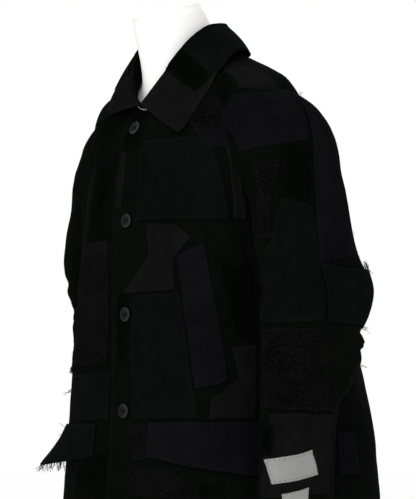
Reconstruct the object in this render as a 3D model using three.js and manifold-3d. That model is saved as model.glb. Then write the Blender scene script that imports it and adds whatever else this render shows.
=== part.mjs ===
// A patched black wool coat, worn closed on a limbless white dress form with a pole and a round base.
// Millimetres, +Z up. The origin is on the floor, under the middle of the form's neck.
// The front of the coat faces -Y and the wearer's left side is +X.

import * as THREE from 'three';
import { mergeVertices } from 'three/addons/utils/BufferGeometryUtils.js';
import loadManifold from 'manifold-3d';

const manifold = await loadManifold();
manifold.setup();

// Cloth and seams
const CLOTH = 2.5;              // thickness of the coat's wall
const SEAM = 0.3;               // gap between pieces at a seam
const PATCH = 1.8;              // thickness of a sewn-on patch
const LABEL = 0.8;              // thickness of a woven label
const POCKET_CLOTH = 3.2;       // a welt or a flap is two layers
const FLAP_DROOP = 4;           // the left flap's lower edge stands this far off the cloth
const FLAP_FLARE = 68;          // the right flap's back corner stands out this far
const FLAP_BACK = -62;          // angle of that corner
const FLAP_FRONT = -20;         // and of the flap's front corner, which lies flat
const THREAD = 0.8;             // radius of a frayed thread at its root
const STRIP = 1.2;              // thickness of the narrow strip that the threads are rooted in
const WRAP = 36;                // how far each front runs past the centre front
const SIDE_SEAM = 93;           // angle of the side and shoulder seam, in degrees from the centre front
const UNDERLAP_RAMP = 13;       // angle over which the right front sinks behind the left one
const ROOT_DEPTH = 1.2;         // a patch starts this far inside its cloth before it is trimmed
const KEEP_DEPTH = 6;           // the blocks that trim the undersides of patches are this deep

// Colours of the cloths, buttons, labels, form and stand
const NAVY_BLACK = 0x17181b;
const SLEEVE_BLACK = 0x18191d;
const CHARCOAL = 0x1c1c1e;
const BROWN_GREY = 0x24211f;
const VELVET = 0x08090a;
const BLUISH = 0x1a1c23;
const BOUCLE = 0x221f1d;
const LABEL_WHITE = 0xf0f0ec;
const BUTTON_GREY = 0x202226;
const FORM_WHITE = 0xf2f2f0;
const STAND_WHITE = 0xe8e8e6;

// Buttons
const BUTTON_DIAMETER = 23;
const BUTTON_THICKNESS = 3.6;
const BUTTON_RIM = 2.6;         // width of the raised rim
const BUTTON_DISH = 1;          // how far the middle lies below the rim
const BUTTON_ROUND = 1;         // how far the outer edge is rounded in
const BUTTON_HOLE = 2.2;
const BUTTON_HOLE_SPACING = 5;
const BUTTON_HEIGHTS = [1334, 1180, 1026, 869];
const BUTTON_LIFT = 1.5;        // from the cloth to the underside of a button
const SHANK_RADIUS = 2.4;       // the wound thread that a button stands on

// Dress form
const FORM_CLEARANCE = 1.0;     // between the form's shoulders and the coat that they carry
const NECK_CUT_MIDDLE = 1541;   // the neck is cut on a slant, lower at the front
const NECK_CUT_SLOPE = 20;
const FORM_FRONT_ROOM = 6;      // more room behind the two overlapping fronts
const FORM_NECK_ROOM = 3;       // and inside the foot of the collar
const POLE_DIAMETER = 32;
const BASE_DIAMETER = 400;
const BASE_HEIGHT = 16;
const BASE_ROUND = 3.5;         // rounding of the base's upper and lower edges
const POLE_FILLET = 6;          // at the foot of the pole

// Dress form: its own rings up to the shoulders, then the coat's rings set in, then the neck
const FORM_RINGS = [
  { z: 842, a: 62, b: 46, y: 14 },
  { z: 850, a: 118, b: 84, y: 18 },
  { z: 884, a: 158, b: 110, y: 22 },
  { z: 960, a: 168, b: 116, y: 22 },
  { z: 1060, a: 142, b: 100, y: 16 },
  { z: 1170, a: 152, b: 108, y: 14 },
  { z: 1260, a: 166, b: 116, y: 14 },
  { z: 1330, a: 174, b: 106, y: 16 },
  { z: 1372, a: 178, b: 98, y: 18 },
];
const FORM_SQUARENESS = 2.3;
const FORM_SHOULDER_LEVELS = [9.4, 9.9, 10.4, 11, 11.5, 12];
const FORM_COLUMNS = 24;

// Neck of the form, from the coat's neck seam up to the slanted cut: share of the way up, half
// width, and the front and back of the section
const NECK_RINGS = [
  { t: 0.14, a: 64, front: -76, back: 66 },
  { t: 0.35, a: 58, front: -78, back: 58 },
  { t: 0.66, a: 56.5, front: -89, back: 36 },
  { t: 1, a: 56, front: -101, back: 15 },
];

// The body of the coat in level sections, from the hem up to the neck seam: height, half width,
// half depth, middle of the depth, squareness, and how far the section dips at the front and
// climbs at the back.
const BODY = [
  { z: 440, a: 286, b: 240, y: 86, n: 2.9, dip: 0, climb: 0 },
  { z: 600, a: 264, b: 226, y: 84, n: 3.2, dip: 0, climb: 0 },
  { z: 760, a: 247, b: 215, y: 83, n: 3.4, dip: 0, climb: 0 },
  { z: 890, a: 237, b: 207, y: 80, n: 3.4, dip: 0, climb: 0 },
  { z: 1000, a: 225, b: 198, y: 73, n: 3.2, dip: 0, climb: 0 },
  { z: 1120, a: 211, b: 183, y: 59, n: 3.0, dip: 0, climb: 0 },
  { z: 1220, a: 208, b: 168, y: 46, n: 2.8, dip: 0, climb: 0 },
  { z: 1310, a: 205, b: 150, y: 38, n: 2.5, dip: 4, climb: 0 },
  { z: 1370, a: 201, b: 137, y: 32, n: 2.45, dip: 34, climb: 2 },
  { z: 1410, a: 187, b: 120, y: 24, n: 2.45, dip: 60, climb: 6 },
  { z: 1434, a: 159, b: 107, y: 18, n: 2.35, dip: 77, climb: 10 },
  { z: 1452, a: 114, b: 91, y: 6, n: 2.3, dip: 88, climb: 16 },
  { z: 1464, a: 78, b: 80, y: -4, n: 2.0, dip: 96, climb: 22 },
];
const NECK_LEVEL = BODY.length - 1;

// The left sleeve in sections from inside the shoulder down to the cuff: middle, tilt of the
// section (0 is level, 90 faces out sideways), half thickness and half width along Y.
const SLEEVE = [
  { x: 118, y: 34, z: 1338, tilt: 84, h: 58, w: 86 },
  { x: 168, y: 34, z: 1329, tilt: 66, h: 70, w: 94 },
  { x: 210, y: 32, z: 1290, tilt: 42, h: 68, w: 96 },
  { x: 240, y: 31, z: 1215, tilt: 20, h: 55, w: 94 },
  { x: 260, y: 29, z: 1130, tilt: 8, h: 46, w: 102 },
  { x: 268, y: 43, z: 1058, tilt: 3, h: 45, w: 116 },
  { x: 274, y: 24, z: 980, tilt: 3, h: 43, w: 98 },
  { x: 282, y: -6, z: 890, tilt: 4, h: 41, w: 75 },
  { x: 288, y: -20, z: 800, tilt: 4, h: 39, w: 70 },
  { x: 292, y: -27, z: 720, tilt: 3, h: 39, w: 69 },
];
const SLEEVE_SQUARENESS = 2.3;
const RIGHT_SLEEVE_SWING = 90;  // the right cuff hangs this much further back than the left one
const RIGHT_SLEEVE_NARROW = 0.1; // narrower by this share
const RIGHT_SLEEVE_TUCK = 9;    // and its shoulder lies this much further in

// Folds pressed into the body: angle, lean in degrees a metre, height range, half width, depth.
const BODY_FOLDS = [
  { at: 70, lean: 60, low: 1090, high: 1330, width: 9, depth: 8 },
  { at: -70, lean: -60, low: 1090, high: 1330, width: 9, depth: 8 },
  { at: 122, lean: 40, low: 860, high: 1300, width: 11, depth: 12 },
  { at: -122, lean: -40, low: 860, high: 1300, width: 11, depth: 12 },
  { at: 154, lean: 10, low: 470, high: 1180, width: 11, depth: 12 },
  { at: -154, lean: -10, low: 470, high: 1180, width: 11, depth: 12 },
  { at: 40, lean: -6, low: 400, high: 720, width: 11, depth: 10 },
  { at: -38, lean: 6, low: 400, high: 720, width: 11, depth: 10 },
];
const FOLD_FADE = 60;           // height over which a fold dies out at both ends
const HEM_WAVES = 9;
const HEM_WAVE_DEPTH = 8;
const HEM_WAVE_TOP = 900;       // the waves start at this height
const HEM_WAVE_FADE = 420;      // and are full this much lower
const HEM_WAVE_TURN = 14;       // angle of the first wave

// Folds pressed into the sleeves: angle round the sleeve (0 outside, 90 behind), slope, height.
const SLEEVE_FOLDS = [
  { at: 88, slope: 0.5, z: 1000, reach: 60, width: 9, depth: 9 },
  { at: 70, slope: 0.6, z: 965, reach: 60, width: 8, depth: 6 },
  { at: -85, slope: -0.4, z: 1050, reach: 45, width: 12, depth: 8 },
  { at: -80, slope: -0.3, z: 1095, reach: 40, width: 10, depth: 6 },
  { at: -20, slope: 0.3, z: 800, reach: 55, width: 14, depth: 4 },
];

// Collar, from the centre back to the front end: angle at the neck seam, fold line, and the edge
// of the leaf on the left side and on the right, where the leaf's point stands up
const COLLAR = [
  { angle: 180, fold: [0, 70, 1524], left: [0, 106, 1462], right: [0, 106, 1462] },
  { angle: 138, fold: [50, 47, 1521], left: [80, 78, 1468], right: [78, 76, 1468] },
  { angle: 88, fold: [69, -8, 1508], left: [118, 15, 1465], right: [107, 13, 1471] },
  { angle: 58, fold: [65, -46, 1480], left: [128, -26, 1434], right: [108, -32, 1447] },
  { angle: 38, fold: [53, -72, 1443], left: [129, -56, 1391], right: [104, -64, 1417] },
  { angle: 20, fold: [32, -87, 1408], left: [124, -86, 1347], right: [94, -86, 1389] },
  { angle: 3, fold: [4, -95, 1378], left: [108, -107, 1315], right: [78, -101, 1366] },
];
const COLLAR_CLOTH = 2.2;
const COLLAR_ROLL = 3.4;        // radius of the roll along the fold line
const COLLAR_GAP = 2.3;         // from the body's neck edge to the collar's lower edge
const COLLAR_BULGE = 4;         // how far the leaf rounds out between its fold and its edge
const COLLAR_COLUMNS = 12;      // on each side of the centre back
const COLLAR_ROOM = 5.0;        // from the coat to the middle of the leaf's cloth, at the least

// Columns of points round the pieces
const WRAP_COLUMNS = 4;
const FRONT_COLUMNS = 11;
const BACK_COLUMNS = 22;
const SOLID_COLUMNS = 48;
const SLEEVE_COLUMNS = 22;

const UP = new THREE.Vector3(0, 0, 1);
const toRadians = THREE.MathUtils.degToRad;
const clamp = THREE.MathUtils.clamp;
const mix = THREE.MathUtils.lerp;

// Smooth value through a list of numbers, at a fractional place in the list
function through(values, place) {
  const last = values.length - 1;
  const index = clamp(Math.floor(place), 0, last - 1);
  const t = place - index;
  const at = (i) => values[clamp(i, 0, last)];
  const [p0, p1, p2, p3] = [at(index - 1), at(index), at(index + 1), at(index + 2)];
  const slope0 = (p2 - p0) / 2;
  const slope1 = (p3 - p1) / 2;
  const t2 = t * t;
  const t3 = t2 * t;
  return (2 * t3 - 3 * t2 + 1) * p1 + (t3 - 2 * t2 + t) * slope0 + (3 * t2 - 2 * t3) * p2 + (t3 - t2) * slope1;
}

function station(list, key, place) {
  return through(list.map((item) => item[key]), place);
}

// Soft window that is 1 inside low to high and fades to 0 over a margin at both ends
function windowed(value, low, high, margin) {
  return THREE.MathUtils.smoothstep(value, low - margin, low + margin)
    * (1 - THREE.MathUtils.smoothstep(value, high - margin, high + margin));
}

// Distance from a section's middle to a rounded-square outline with half sizes a and b
function reachOf(across, along, a, b, squareness) {
  return 1 / (Math.abs(across / a) ** squareness + Math.abs(along / b) ** squareness) ** (1 / squareness);
}

function bodyFold(angle, z) {
  let depth = 0;
  for (const fold of BODY_FOLDS) {
    const middle = fold.at + fold.lean * (z - fold.low) / 1000;
    const away = (angle - middle) / fold.width;
    depth -= fold.depth * Math.exp(-away * away) * windowed(z, fold.low, fold.high, FOLD_FADE);
  }
  const hem = 1 - THREE.MathUtils.smoothstep(z, HEM_WAVE_TOP - HEM_WAVE_FADE, HEM_WAVE_TOP);
  return depth + hem * HEM_WAVE_DEPTH * Math.cos(toRadians(HEM_WAVES * (angle + HEM_WAVE_TURN)));
}

// Point of the coat's outer surface: level is a place in BODY, angle is in degrees from the
// centre front, positive towards the wearer's left
function bodyPoint(level, angle) {
  const across = Math.sin(toRadians(angle));
  const along = -Math.cos(toRadians(angle));
  const front = ((1 - along) / 2) ** 3;
  const behind = ((1 + along) / 2) ** 2;
  const z = station(BODY, 'z', level) - station(BODY, 'dip', level) * front
    + station(BODY, 'climb', level) * behind;
  const reach = reachOf(across, along, station(BODY, 'a', level), station(BODY, 'b', level),
    station(BODY, 'n', level));
  const signed = angle > 180 ? angle - 360 : angle;
  const radius = reach + bodyFold(signed, z);
  return new THREE.Vector3(radius * across, station(BODY, 'y', level) + radius * along, z);
}

function sleeveFold(angle, z) {
  let depth = 0;
  for (const fold of SLEEVE_FOLDS) {
    const turn = ((angle - fold.at + 540) % 360) - 180;
    const away = (z - fold.z - fold.slope * turn) / fold.width;
    depth -= fold.depth * Math.exp(-away * away) * Math.exp(-((turn / fold.reach) ** 2));
  }
  return depth;
}

// Point of a sleeve's outer surface: side is 1 for the left sleeve and -1 for the right
function sleevePoint(side, level, angle) {
  const tilt = toRadians(station(SLEEVE, 'tilt', level));
  const outward = Math.cos(toRadians(angle));
  const backward = Math.sin(toRadians(angle));
  const z = station(SLEEVE, 'z', level);
  const reach = reachOf(outward, backward, station(SLEEVE, 'h', level), station(SLEEVE, 'w', level),
    SLEEVE_SQUARENESS) + sleeveFold(angle, z);
  const right = side < 0 ? 1 : 0;
  const swing = right * RIGHT_SLEEVE_SWING * THREE.MathUtils.smoothstep(level, 2, 9);
  const tuck = right * RIGHT_SLEEVE_TUCK * (1 - THREE.MathUtils.smoothstep(level, 2.6, 4));
  return new THREE.Vector3(
    side * (station(SLEEVE, 'x', level) - tuck + reach * outward * Math.cos(tilt)),
    station(SLEEVE, 'y', level) + reach * backward * (1 - right * RIGHT_SLEEVE_NARROW) + swing,
    z + reach * outward * Math.sin(tilt));
}

// A surface is a point function of (level, angle); lifted() moves a point out along the normal
function lifted(surface, level, angle, lift) {
  const point = surface(level, angle);
  if (lift === 0) return point;
  const up = surface(level + 0.02, angle).sub(surface(level - 0.02, angle));
  const round = surface(level, angle + 0.5).sub(surface(level, angle - 0.5));
  const normal = round.cross(up).normalize();
  return point.addScaledVector(normal, lift);
}

const body = { point: bodyPoint, turn: 1, levels: [0, NECK_LEVEL] };
const sleeveLeft = { point: (level, angle) => sleevePoint(1, level, angle), turn: -1, levels: [9, 0] };
const sleeveRight = { point: (level, angle) => sleevePoint(-1, level, angle), turn: 1, levels: [9, 0] };

function skin(form, level, angle, lift) {
  return lifted(form.point, level, angle, form.turn * lift);
}

// Level at which a surface passes a height, at a given angle
function levelAt(form, angle, z) {
  let [low, high] = form.levels;
  for (let step = 0; step < 40; step += 1) {
    const middle = (low + high) / 2;
    if (form.point(middle, angle).z < z) low = middle;
    else high = middle;
  }
  return (low + high) / 2;
}

// Closed wall between two grids of points with the same rows and columns
function wall(outer, inner, round = false) {
  const rows = outer.length;
  const columns = outer[0].length;
  const positions = [...outer.flat(), ...inner.flat()].flatMap((p) => [p.x, p.y, p.z]);
  const out = (r, c) => r * columns + (c % columns);
  const into = (r, c) => rows * columns + out(r, c);
  const faces = [];
  const quad = (a, b, c, d) => faces.push(a, b, c, a, c, d);
  const spans = round ? columns : columns - 1;
  for (let r = 0; r < rows - 1; r += 1) {
    for (let c = 0; c < spans; c += 1) {
      quad(out(r, c), out(r, c + 1), out(r + 1, c + 1), out(r + 1, c));
      quad(into(r, c), into(r + 1, c), into(r + 1, c + 1), into(r, c + 1));
    }
    if (!round) {
      quad(out(r, 0), out(r + 1, 0), into(r + 1, 0), into(r, 0));
      quad(out(r + 1, spans), out(r, spans), into(r, spans), into(r + 1, spans));
    }
  }
  for (let c = 0; c < spans; c += 1) {
    quad(out(0, c + 1), out(0, c), into(0, c), into(0, c + 1));
    quad(out(rows - 1, c), out(rows - 1, c + 1), into(rows - 1, c + 1), into(rows - 1, c));
  }
  return facingOut(geometryFrom(positions, faces));
}

// Closed solid through a stack of rings, capped at both ends
function filled(rings) {
  const columns = rings[0].length;
  const points = rings.flat();
  const faces = [];
  for (let r = 0; r < rings.length - 1; r += 1) {
    for (let c = 0; c < columns; c += 1) {
      const next = (c + 1) % columns;
      const [a, b] = [r * columns + c, r * columns + next];
      faces.push(a, b, b + columns, a, b + columns, a + columns);
    }
  }
  for (const ring of [0, rings.length - 1]) {
    const middle = rings[ring].reduce((sum, p) => sum.add(p), new THREE.Vector3()).divideScalar(columns);
    points.push(middle);
    for (let c = 0; c < columns; c += 1) {
      const [a, b] = [ring * columns + c, ring * columns + (c + 1) % columns];
      faces.push(...(ring === 0 ? [b, a] : [a, b]), points.length - 1);
    }
  }
  return facingOut(geometryFrom(points.flatMap((p) => [p.x, p.y, p.z]), faces));
}

function geometryFrom(positions, faces) {
  const geometry = new THREE.BufferGeometry();
  geometry.setAttribute('position', new THREE.Float32BufferAttribute(positions, 3));
  geometry.setIndex(faces);
  return geometry;
}

function volumeOf(geometry) {
  const position = geometry.getAttribute('position');
  const index = geometry.getIndex();
  const [a, b, c] = [new THREE.Vector3(), new THREE.Vector3(), new THREE.Vector3()];
  let volume = 0;
  for (let i = 0; i < index.count; i += 3) {
    a.fromBufferAttribute(position, index.getX(i));
    b.fromBufferAttribute(position, index.getX(i + 1));
    c.fromBufferAttribute(position, index.getX(i + 2));
    volume += a.dot(b.cross(c)) / 6;
  }
  return volume;
}

function facingOut(geometry) {
  if (volumeOf(geometry) < 0) {
    const index = geometry.getIndex();
    for (let i = 0; i < index.count; i += 3) {
      const first = index.getX(i);
      index.setX(i, index.getX(i + 1));
      index.setX(i + 1, first);
    }
  }
  return geometry;
}

function toSolid(geometry) {
  const bare = geometry.clone();
  bare.deleteAttribute('normal');
  bare.deleteAttribute('uv');
  const merged = mergeVertices(bare, 1e-4);
  const mesh = new manifold.Mesh({
    numProp: 3,
    vertProperties: new Float32Array(merged.getAttribute('position').array),
    triVerts: new Uint32Array(merged.getIndex().array),
  });
  return new manifold.Manifold(mesh);
}

// The largest connected body of a cut solid, as a geometry
function toGeometry(solid) {
  const bodies = solid.decompose().sort((one, other) => other.volume() - one.volume());
  const mesh = bodies[0].getMesh();
  return geometryFrom(Array.from(mesh.vertProperties), Array.from(mesh.triVerts));
}

const coat = new THREE.Group();

function add(name, geometry, colour, roughness = 0.95, metalness = 0) {
  geometry.computeVertexNormals();
  const material = new THREE.MeshStandardMaterial({ color: colour, roughness, metalness });
  const mesh = new THREE.Mesh(geometry, material);
  mesh.name = name;
  coat.add(mesh);
}

function steps(from, to, count) {
  return Array.from({ length: count + 1 }, (_, i) => mix(from, to, i / count));
}

// Angle round the body at which the outer surface is a distance to the side of the centre front
function angleAtWidth(level, width) {
  let [low, high] = [-40, 40];
  for (let step = 0; step < 30; step += 1) {
    const middle = (low + high) / 2;
    if (bodyPoint(level, middle).x < width) low = middle;
    else high = middle;
  }
  return (low + high) / 2;
}

// Half of the seam gap as an angle, at a level
function seamAngle(level) {
  return THREE.MathUtils.radToDeg(SEAM / 2 / station(BODY, 'a', level));
}

const BODY_LEVELS = [...steps(0, 6, 9), ...steps(6.6, NECK_LEVEL, 10)];
// A panel of the body through a row of angles at each level; sink moves it inwards
function panel(anglesAt, sink = () => 0, outside = 0, inside = -CLOTH) {
  const grid = (lift) => BODY_LEVELS.map((level) => anglesAt(level)
    .map((angle) => skin(body, level, angle, lift - sink(level, angle))));
  return wall(grid(outside), grid(inside));
}

function bodyBlock() {
  const turns = steps(-180, 180 - 360 / SOLID_COLUMNS, SOLID_COLUMNS - 1);
  return toSolid(filled(BODY_LEVELS.map((level) => turns.map((angle) => skin(body, level, angle, SEAM)))));
}

const SLEEVE_LEVELS = steps(0, 9, 19);
function sleeveRings(form, lift) {
  const turns = steps(0, 360 - 360 / SLEEVE_COLUMNS, SLEEVE_COLUMNS - 1);
  return SLEEVE_LEVELS.map((level) => turns.map((angle) => skin(form, level, angle, lift)));
}

const sleeveBlocks = [sleeveLeft, sleeveRight].map((form) => toSolid(filled(sleeveRings(form, SEAM))));
const block = bodyBlock();

function withArmholes(geometry) {
  return toGeometry(sleeveBlocks.reduce((solid, sleeve) => solid.subtract(sleeve), toSolid(geometry)));
}

const leftEdge = (level) => angleAtWidth(level, -WRAP);
const rightEdge = (level) => angleAtWidth(level, WRAP);
// The right front lies under the left one, so it sinks behind it near the centre front
function underlap(level, angle) {
  const edge = leftEdge(level);
  return (CLOTH + SEAM) * THREE.MathUtils.smoothstep(angle, edge - UNDERLAP_RAMP, edge);
}

// Both fronts share their angles where they overlap, so that their faces stay parallel
const beside = (level) => SIDE_SEAM - seamAngle(level);
const behind = (level) => SIDE_SEAM + seamAngle(level);
const overlap = (level) => steps(leftEdge(level), rightEdge(level), WRAP_COLUMNS);
const leftAngles = (level) => [...overlap(level),
  ...steps(rightEdge(level), beside(level), FRONT_COLUMNS).slice(1)];
const rightAngles = (level) => [...steps(-beside(level), leftEdge(level), FRONT_COLUMNS).slice(0, -1),
  ...overlap(level)];
const backAngles = (level) => steps(behind(level), 360 - behind(level), BACK_COLUMNS);

function buildBody() {
  add('front_left', withArmholes(panel(leftAngles)), NAVY_BLACK);
  add('front_right', withArmholes(panel(rightAngles, underlap)), NAVY_BLACK);
  add('back', withArmholes(panel(backAngles)), NAVY_BLACK);
}

function buildSleeves() {
  for (const [name, form] of [['sleeve_left', sleeveLeft], ['sleeve_right', sleeveRight]]) {
    const tube = wall(sleeveRings(form, 0), sleeveRings(form, -CLOTH), true);
    add(name, toGeometry(toSolid(tube).subtract(block)), SLEEVE_BLACK);
  }
}

// What a patch is laid on: the surface, how far it is sunk there, and a block just proud of it
const plain = () => 0;
const onLeft = { form: body, sink: plain, trim: toSolid(panel(leftAngles, plain, SEAM, -KEEP_DEPTH)) };
const onRight = { form: body, sink: underlap, trim: toSolid(panel(rightAngles, underlap, SEAM, -KEEP_DEPTH)) };
const onLeftSleeve = { form: sleeveLeft, sink: plain, trim: sleeveBlocks[0] };
// A piece of cloth sewn on. Its rows run from the bottom up, each from (angle, height) to
// (angle, height); rise(u, t) lifts it off the cloth, with u along a row and t from bottom to top
function sewnPiece(base, rows, { columns = 5, thickness = PATCH, rise = plain }) {
  const grid = (liftAt) => rows.map((row, r) => steps(0, 1, columns)
    .map((u) => placeOn(base, row, u, liftAt(rise(u, r / (rows.length - 1))))));
  const under = (height) => mix(-ROOT_DEPTH, height + SEAM, THREE.MathUtils.smoothstep(height, 0, 2));
  const solid = toSolid(wall(grid((height) => height + SEAM + thickness), grid(under)));
  return solid.subtract(base.trim);
}

// A point on a row of a patch, lifted off the cloth
function placeOn(base, [from, low, to, high], u, lift) {
  const angle = mix(from, to, u);
  const level = levelAt(base.form, angle, mix(low, high, u));
  return skin(base.form, level, angle, lift - base.sink(level, angle));
}

function patch(name, base, rows, colour, options = {}) {
  add(name, toGeometry(sewnPiece(base, rows, options)), colour);
}

// Repeatable random numbers from 0 to 1
function randomFrom(seed) {
  let state = seed;
  return () => {
    state = (state * 16807) % 2147483647;
    return state / 2147483647;
  };
}

// Frayed threads along a raw edge: a narrow strip of cloth with loose threads rooted in it.
// toward is the way that the threads lean, up or down the cloth
function fringe(name, base, rows, colour, { count, length, toward, seed, rise = plain, columns = 8 }) {
  const random = randomFrom(seed);
  let solid = sewnPiece(base, rows, { columns, thickness: STRIP, rise });
  const middle = rows[0].map((value, i) => (value + rows[1][i]) / 2);
  for (let thread = 0; thread < count; thread += 1) {
    const u = (thread + 0.2 + 0.6 * random()) / count;
    const root = placeOn(base, middle, u, rise(u, 0) + SEAM + STRIP / 2);
    const normal = placeOn(base, middle, u, rise(u, 0) + SEAM + STRIP).sub(root).normalize();
    const lean = new THREE.Vector3(random() - 0.5, random() - 0.5, toward * (0.5 + random()));
    const way = normal.multiplyScalar(0.5 + 0.5 * random()).add(lean).normalize();
    const reach = length * (0.5 + random());
    const strand = new THREE.CylinderGeometry(THREAD / 4, THREAD, reach, 3).translate(0, reach / 2, 0);
    strand.applyQuaternion(new THREE.Quaternion().setFromUnitVectors(new THREE.Vector3(0, 1, 0), way));
    solid = solid.add(toSolid(strand.translate(root.x, root.y, root.z)));
  }
  add(name, toGeometry(solid), colour);
}

function buildPatches() {
  patch('patch_chest', onLeft, [[8, 1177, 58, 1173], [8, 1222, 57, 1220], [8, 1268, 55, 1265],
    [9, 1312, 51, 1308]], CHARCOAL, { columns: 7 });
  patch('patch_waist', onLeft, [[-3, 1062, 31, 1060], [3, 1077, 31, 1079], [17, 1120, 31, 1110],
    [16, 1148, 40, 1145], [15, 1171, 33, 1168]], BROWN_GREY);
  patch('patch_side', onLeft, [[54, 986, 61, 978], [53, 1030, 62, 1030], [51, 1062, 63, 1052],
    [50, 1104, 64, 1100]], VELVET, { columns: 3 });
  patch('patch_hip', onLeft, [[44, 857, 60, 857], [45, 889, 61, 890], [55, 920, 61, 920],
    [53, 968, 62, 972]], BROWN_GREY, { columns: 3 });
  patch('patch_right_velvet', onRight, [[-37, 1154, -15, 1151], [-35, 1215, -17, 1213],
    [-33, 1284, -23, 1282]], VELVET, { columns: 4 });
  patch('patch_right_boucle', onRight, [[-52, 946, -14, 945], [-51, 1010, -14, 1010], [-47, 1070, -15, 1070],
    [-42, 1128, -17, 1126]], BOUCLE, { columns: 6 });
  patch('strip_sleeve', onLeftSleeve, [[-90, 1136, -80, 1134], [-89, 1180, -76, 1178], [-88, 1215, -71, 1213],
    [-86, 1262, -58, 1262]], BOUCLE, { columns: 3 });
  patch('patch_sleeve_velvet', onLeftSleeve, [[-66, 1204, -26, 1192], [-59, 1240, -16, 1240],
    [-48, 1290, -6, 1296]], VELVET, { columns: 4 });
  patch('patch_sleeve_boucle', onLeftSleeve, [[-92, 870, 40, 868], [-94, 932, 14, 932],
    [-94, 996, -8, 995]], BOUCLE, { columns: 8 });
  patch('patch_elbow', onLeftSleeve, [[-12, 1006, 104, 1004], [-22, 1036, 106, 1032], [-28, 1066, 106, 1062],
    [-30, 1098, 104, 1092]], CHARCOAL, { columns: 9, rise: (u, t) => 3.5 * t * t });
}

// How far the lower edge of the right flap stands off the coat at an angle
function flare(angle) {
  return FLAP_FLARE * ((FLAP_FRONT - angle) / (FLAP_FRONT - FLAP_BACK)) ** 2;
}

function buildPockets() {
  patch('welt_left', onLeft, [[39, 902, 51, 914], [37, 973, 49.3, 988], [35, 1045, 47.6, 1062],
    [33, 1116, 46, 1136]], BLUISH, { columns: 3, thickness: POCKET_CLOTH });
  patch('flap_left', onLeft, [[17, 796, 62, 765], [16.5, 823, 62, 808], [16, 851, 62, 851]], BLUISH,
    { columns: 7, thickness: POCKET_CLOTH, rise: (u, t) => FLAP_DROOP * (1 - t) });
  patch('flap_right', onRight, [[FLAP_BACK, 771, FLAP_FRONT, 794], [FLAP_BACK, 796, FLAP_FRONT, 812],
    [FLAP_BACK, 821, FLAP_FRONT, 831], [FLAP_BACK, 847, FLAP_FRONT, 849]], BLUISH,
    { columns: 7, thickness: POCKET_CLOTH, rise: (u, t) => flare(mix(FLAP_BACK, FLAP_FRONT, u)) * (1 - t) });
}

function buildFringes() {
  fringe('fringe_elbow', onLeftSleeve, [[2, 1103, 96, 1098], [2, 1107, 96, 1102]], CHARCOAL,
    { count: 24, length: 9, toward: 1, seed: 11, columns: 6 });
  fringe('fringe_right', onRight, [[-55, 936, -40, 938], [-55, 940, -40, 942]], BOUCLE,
    { count: 13, length: 9, toward: -1, seed: 23, columns: 3 });
  fringe('fringe_flap', onRight, [[-61, 767.2, -30, 784.2], [-61, 771.2, -30, 788.2]], BLUISH,
    { count: 16, length: 10, toward: -1, seed: 37, columns: 6,
      rise: (u) => flare(mix(-61, -30, u)) });
}

function buildLabels() {
  patch('label_upper', onLeftSleeve, [[-77, 757, 8, 771], [-83, 776, 0, 790], [-88, 794, -8, 809]], LABEL_WHITE,
    { columns: 6, thickness: LABEL });
  patch('label_lower', onLeftSleeve, [[-64, 726, -19, 731], [-65, 742, -18, 752]], LABEL_WHITE,
    { columns: 4, thickness: LABEL });
}

// One column of the collar's middle surface: up the stand, over the fold, and down the leaf
function collarColumn(side, place) {
  const at = (key) => new THREE.Vector3(...[0, 1, 2].map((axis) => through(COLLAR.map((c) => c[key][axis]), place)));
  const angle = station(COLLAR, 'angle', place);
  const seam = skin(body, NECK_LEVEL, angle, -CLOTH / 2);
  const below = skin(body, NECK_LEVEL - 0.2, angle, -CLOTH / 2);
  const foot = seam.clone().addScaledVector(seam.clone().sub(below).normalize(), COLLAR_GAP);
  const [fold, edge] = [at('fold'), at(side > 0 ? 'left' : 'right')];
  const out = new THREE.Vector3(fold.x, fold.y - station(BODY, 'y', NECK_LEVEL), 0).normalize();
  const rolled = (sideways, down) => fold.clone().addScaledVector(out, sideways * COLLAR_ROLL)
    .addScaledVector(UP, -down * COLLAR_ROLL);
  const inner = rolled(-1, 1);
  const outer = rolled(1, 1);
  const along = (t) => outer.clone().lerp(edge, t).addScaledVector(out, COLLAR_BULGE * Math.sin(Math.PI * t));
  const points = [foot, foot.clone().lerp(inner, 0.5), inner, rolled(-0.7, 0.25), rolled(0, 0), rolled(0.7, 0.25),
    outer, ...[0.25, 0.5, 0.75, 1].map((t) => clearOfBody(along(t), COLLAR_ROOM))];
  return points.map((p) => new THREE.Vector3(side * p.x, p.y, p.z));
}

// Moves a point that lies too near the coat's outside out to a given room from it
function clearOfBody(point, room) {
  let level = NECK_LEVEL;
  let angle = 0;
  for (let step = 0; step < 4; step += 1) {
    angle = THREE.MathUtils.radToDeg(Math.atan2(point.x, station(BODY, 'y', level) - point.y));
    level = levelAt(body, angle, point.z);
  }
  const surface = skin(body, level, angle, room);
  const reachFrom = (p) => Math.hypot(p.x, p.y - station(BODY, 'y', level));
  return reachFrom(point) < reachFrom(surface) ? surface : point;
}

function buildCollar() {
  const last = COLLAR.length - 1;
  const right = steps(last, 0, COLLAR_COLUMNS).slice(0, -1).map((place) => collarColumn(-1, place));
  const left = steps(0, last, COLLAR_COLUMNS).map((place) => collarColumn(1, place));
  const middle = [...right, ...left];
  const offset = (lift) => middle.map((column, c) => column.map((point, r) => {
    const before = middle[Math.max(c - 1, 0)][r];
    const after = middle[Math.min(c + 1, middle.length - 1)][r];
    const round = after.clone().sub(before);
    const along = column[Math.min(r + 1, column.length - 1)].clone().sub(column[Math.max(r - 1, 0)]);
    return point.clone().addScaledVector(round.cross(along).normalize(), lift);
  }));
  add('collar', wall(offset(COLLAR_CLOTH / 2), offset(-COLLAR_CLOTH / 2)), BROWN_GREY);
}

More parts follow.
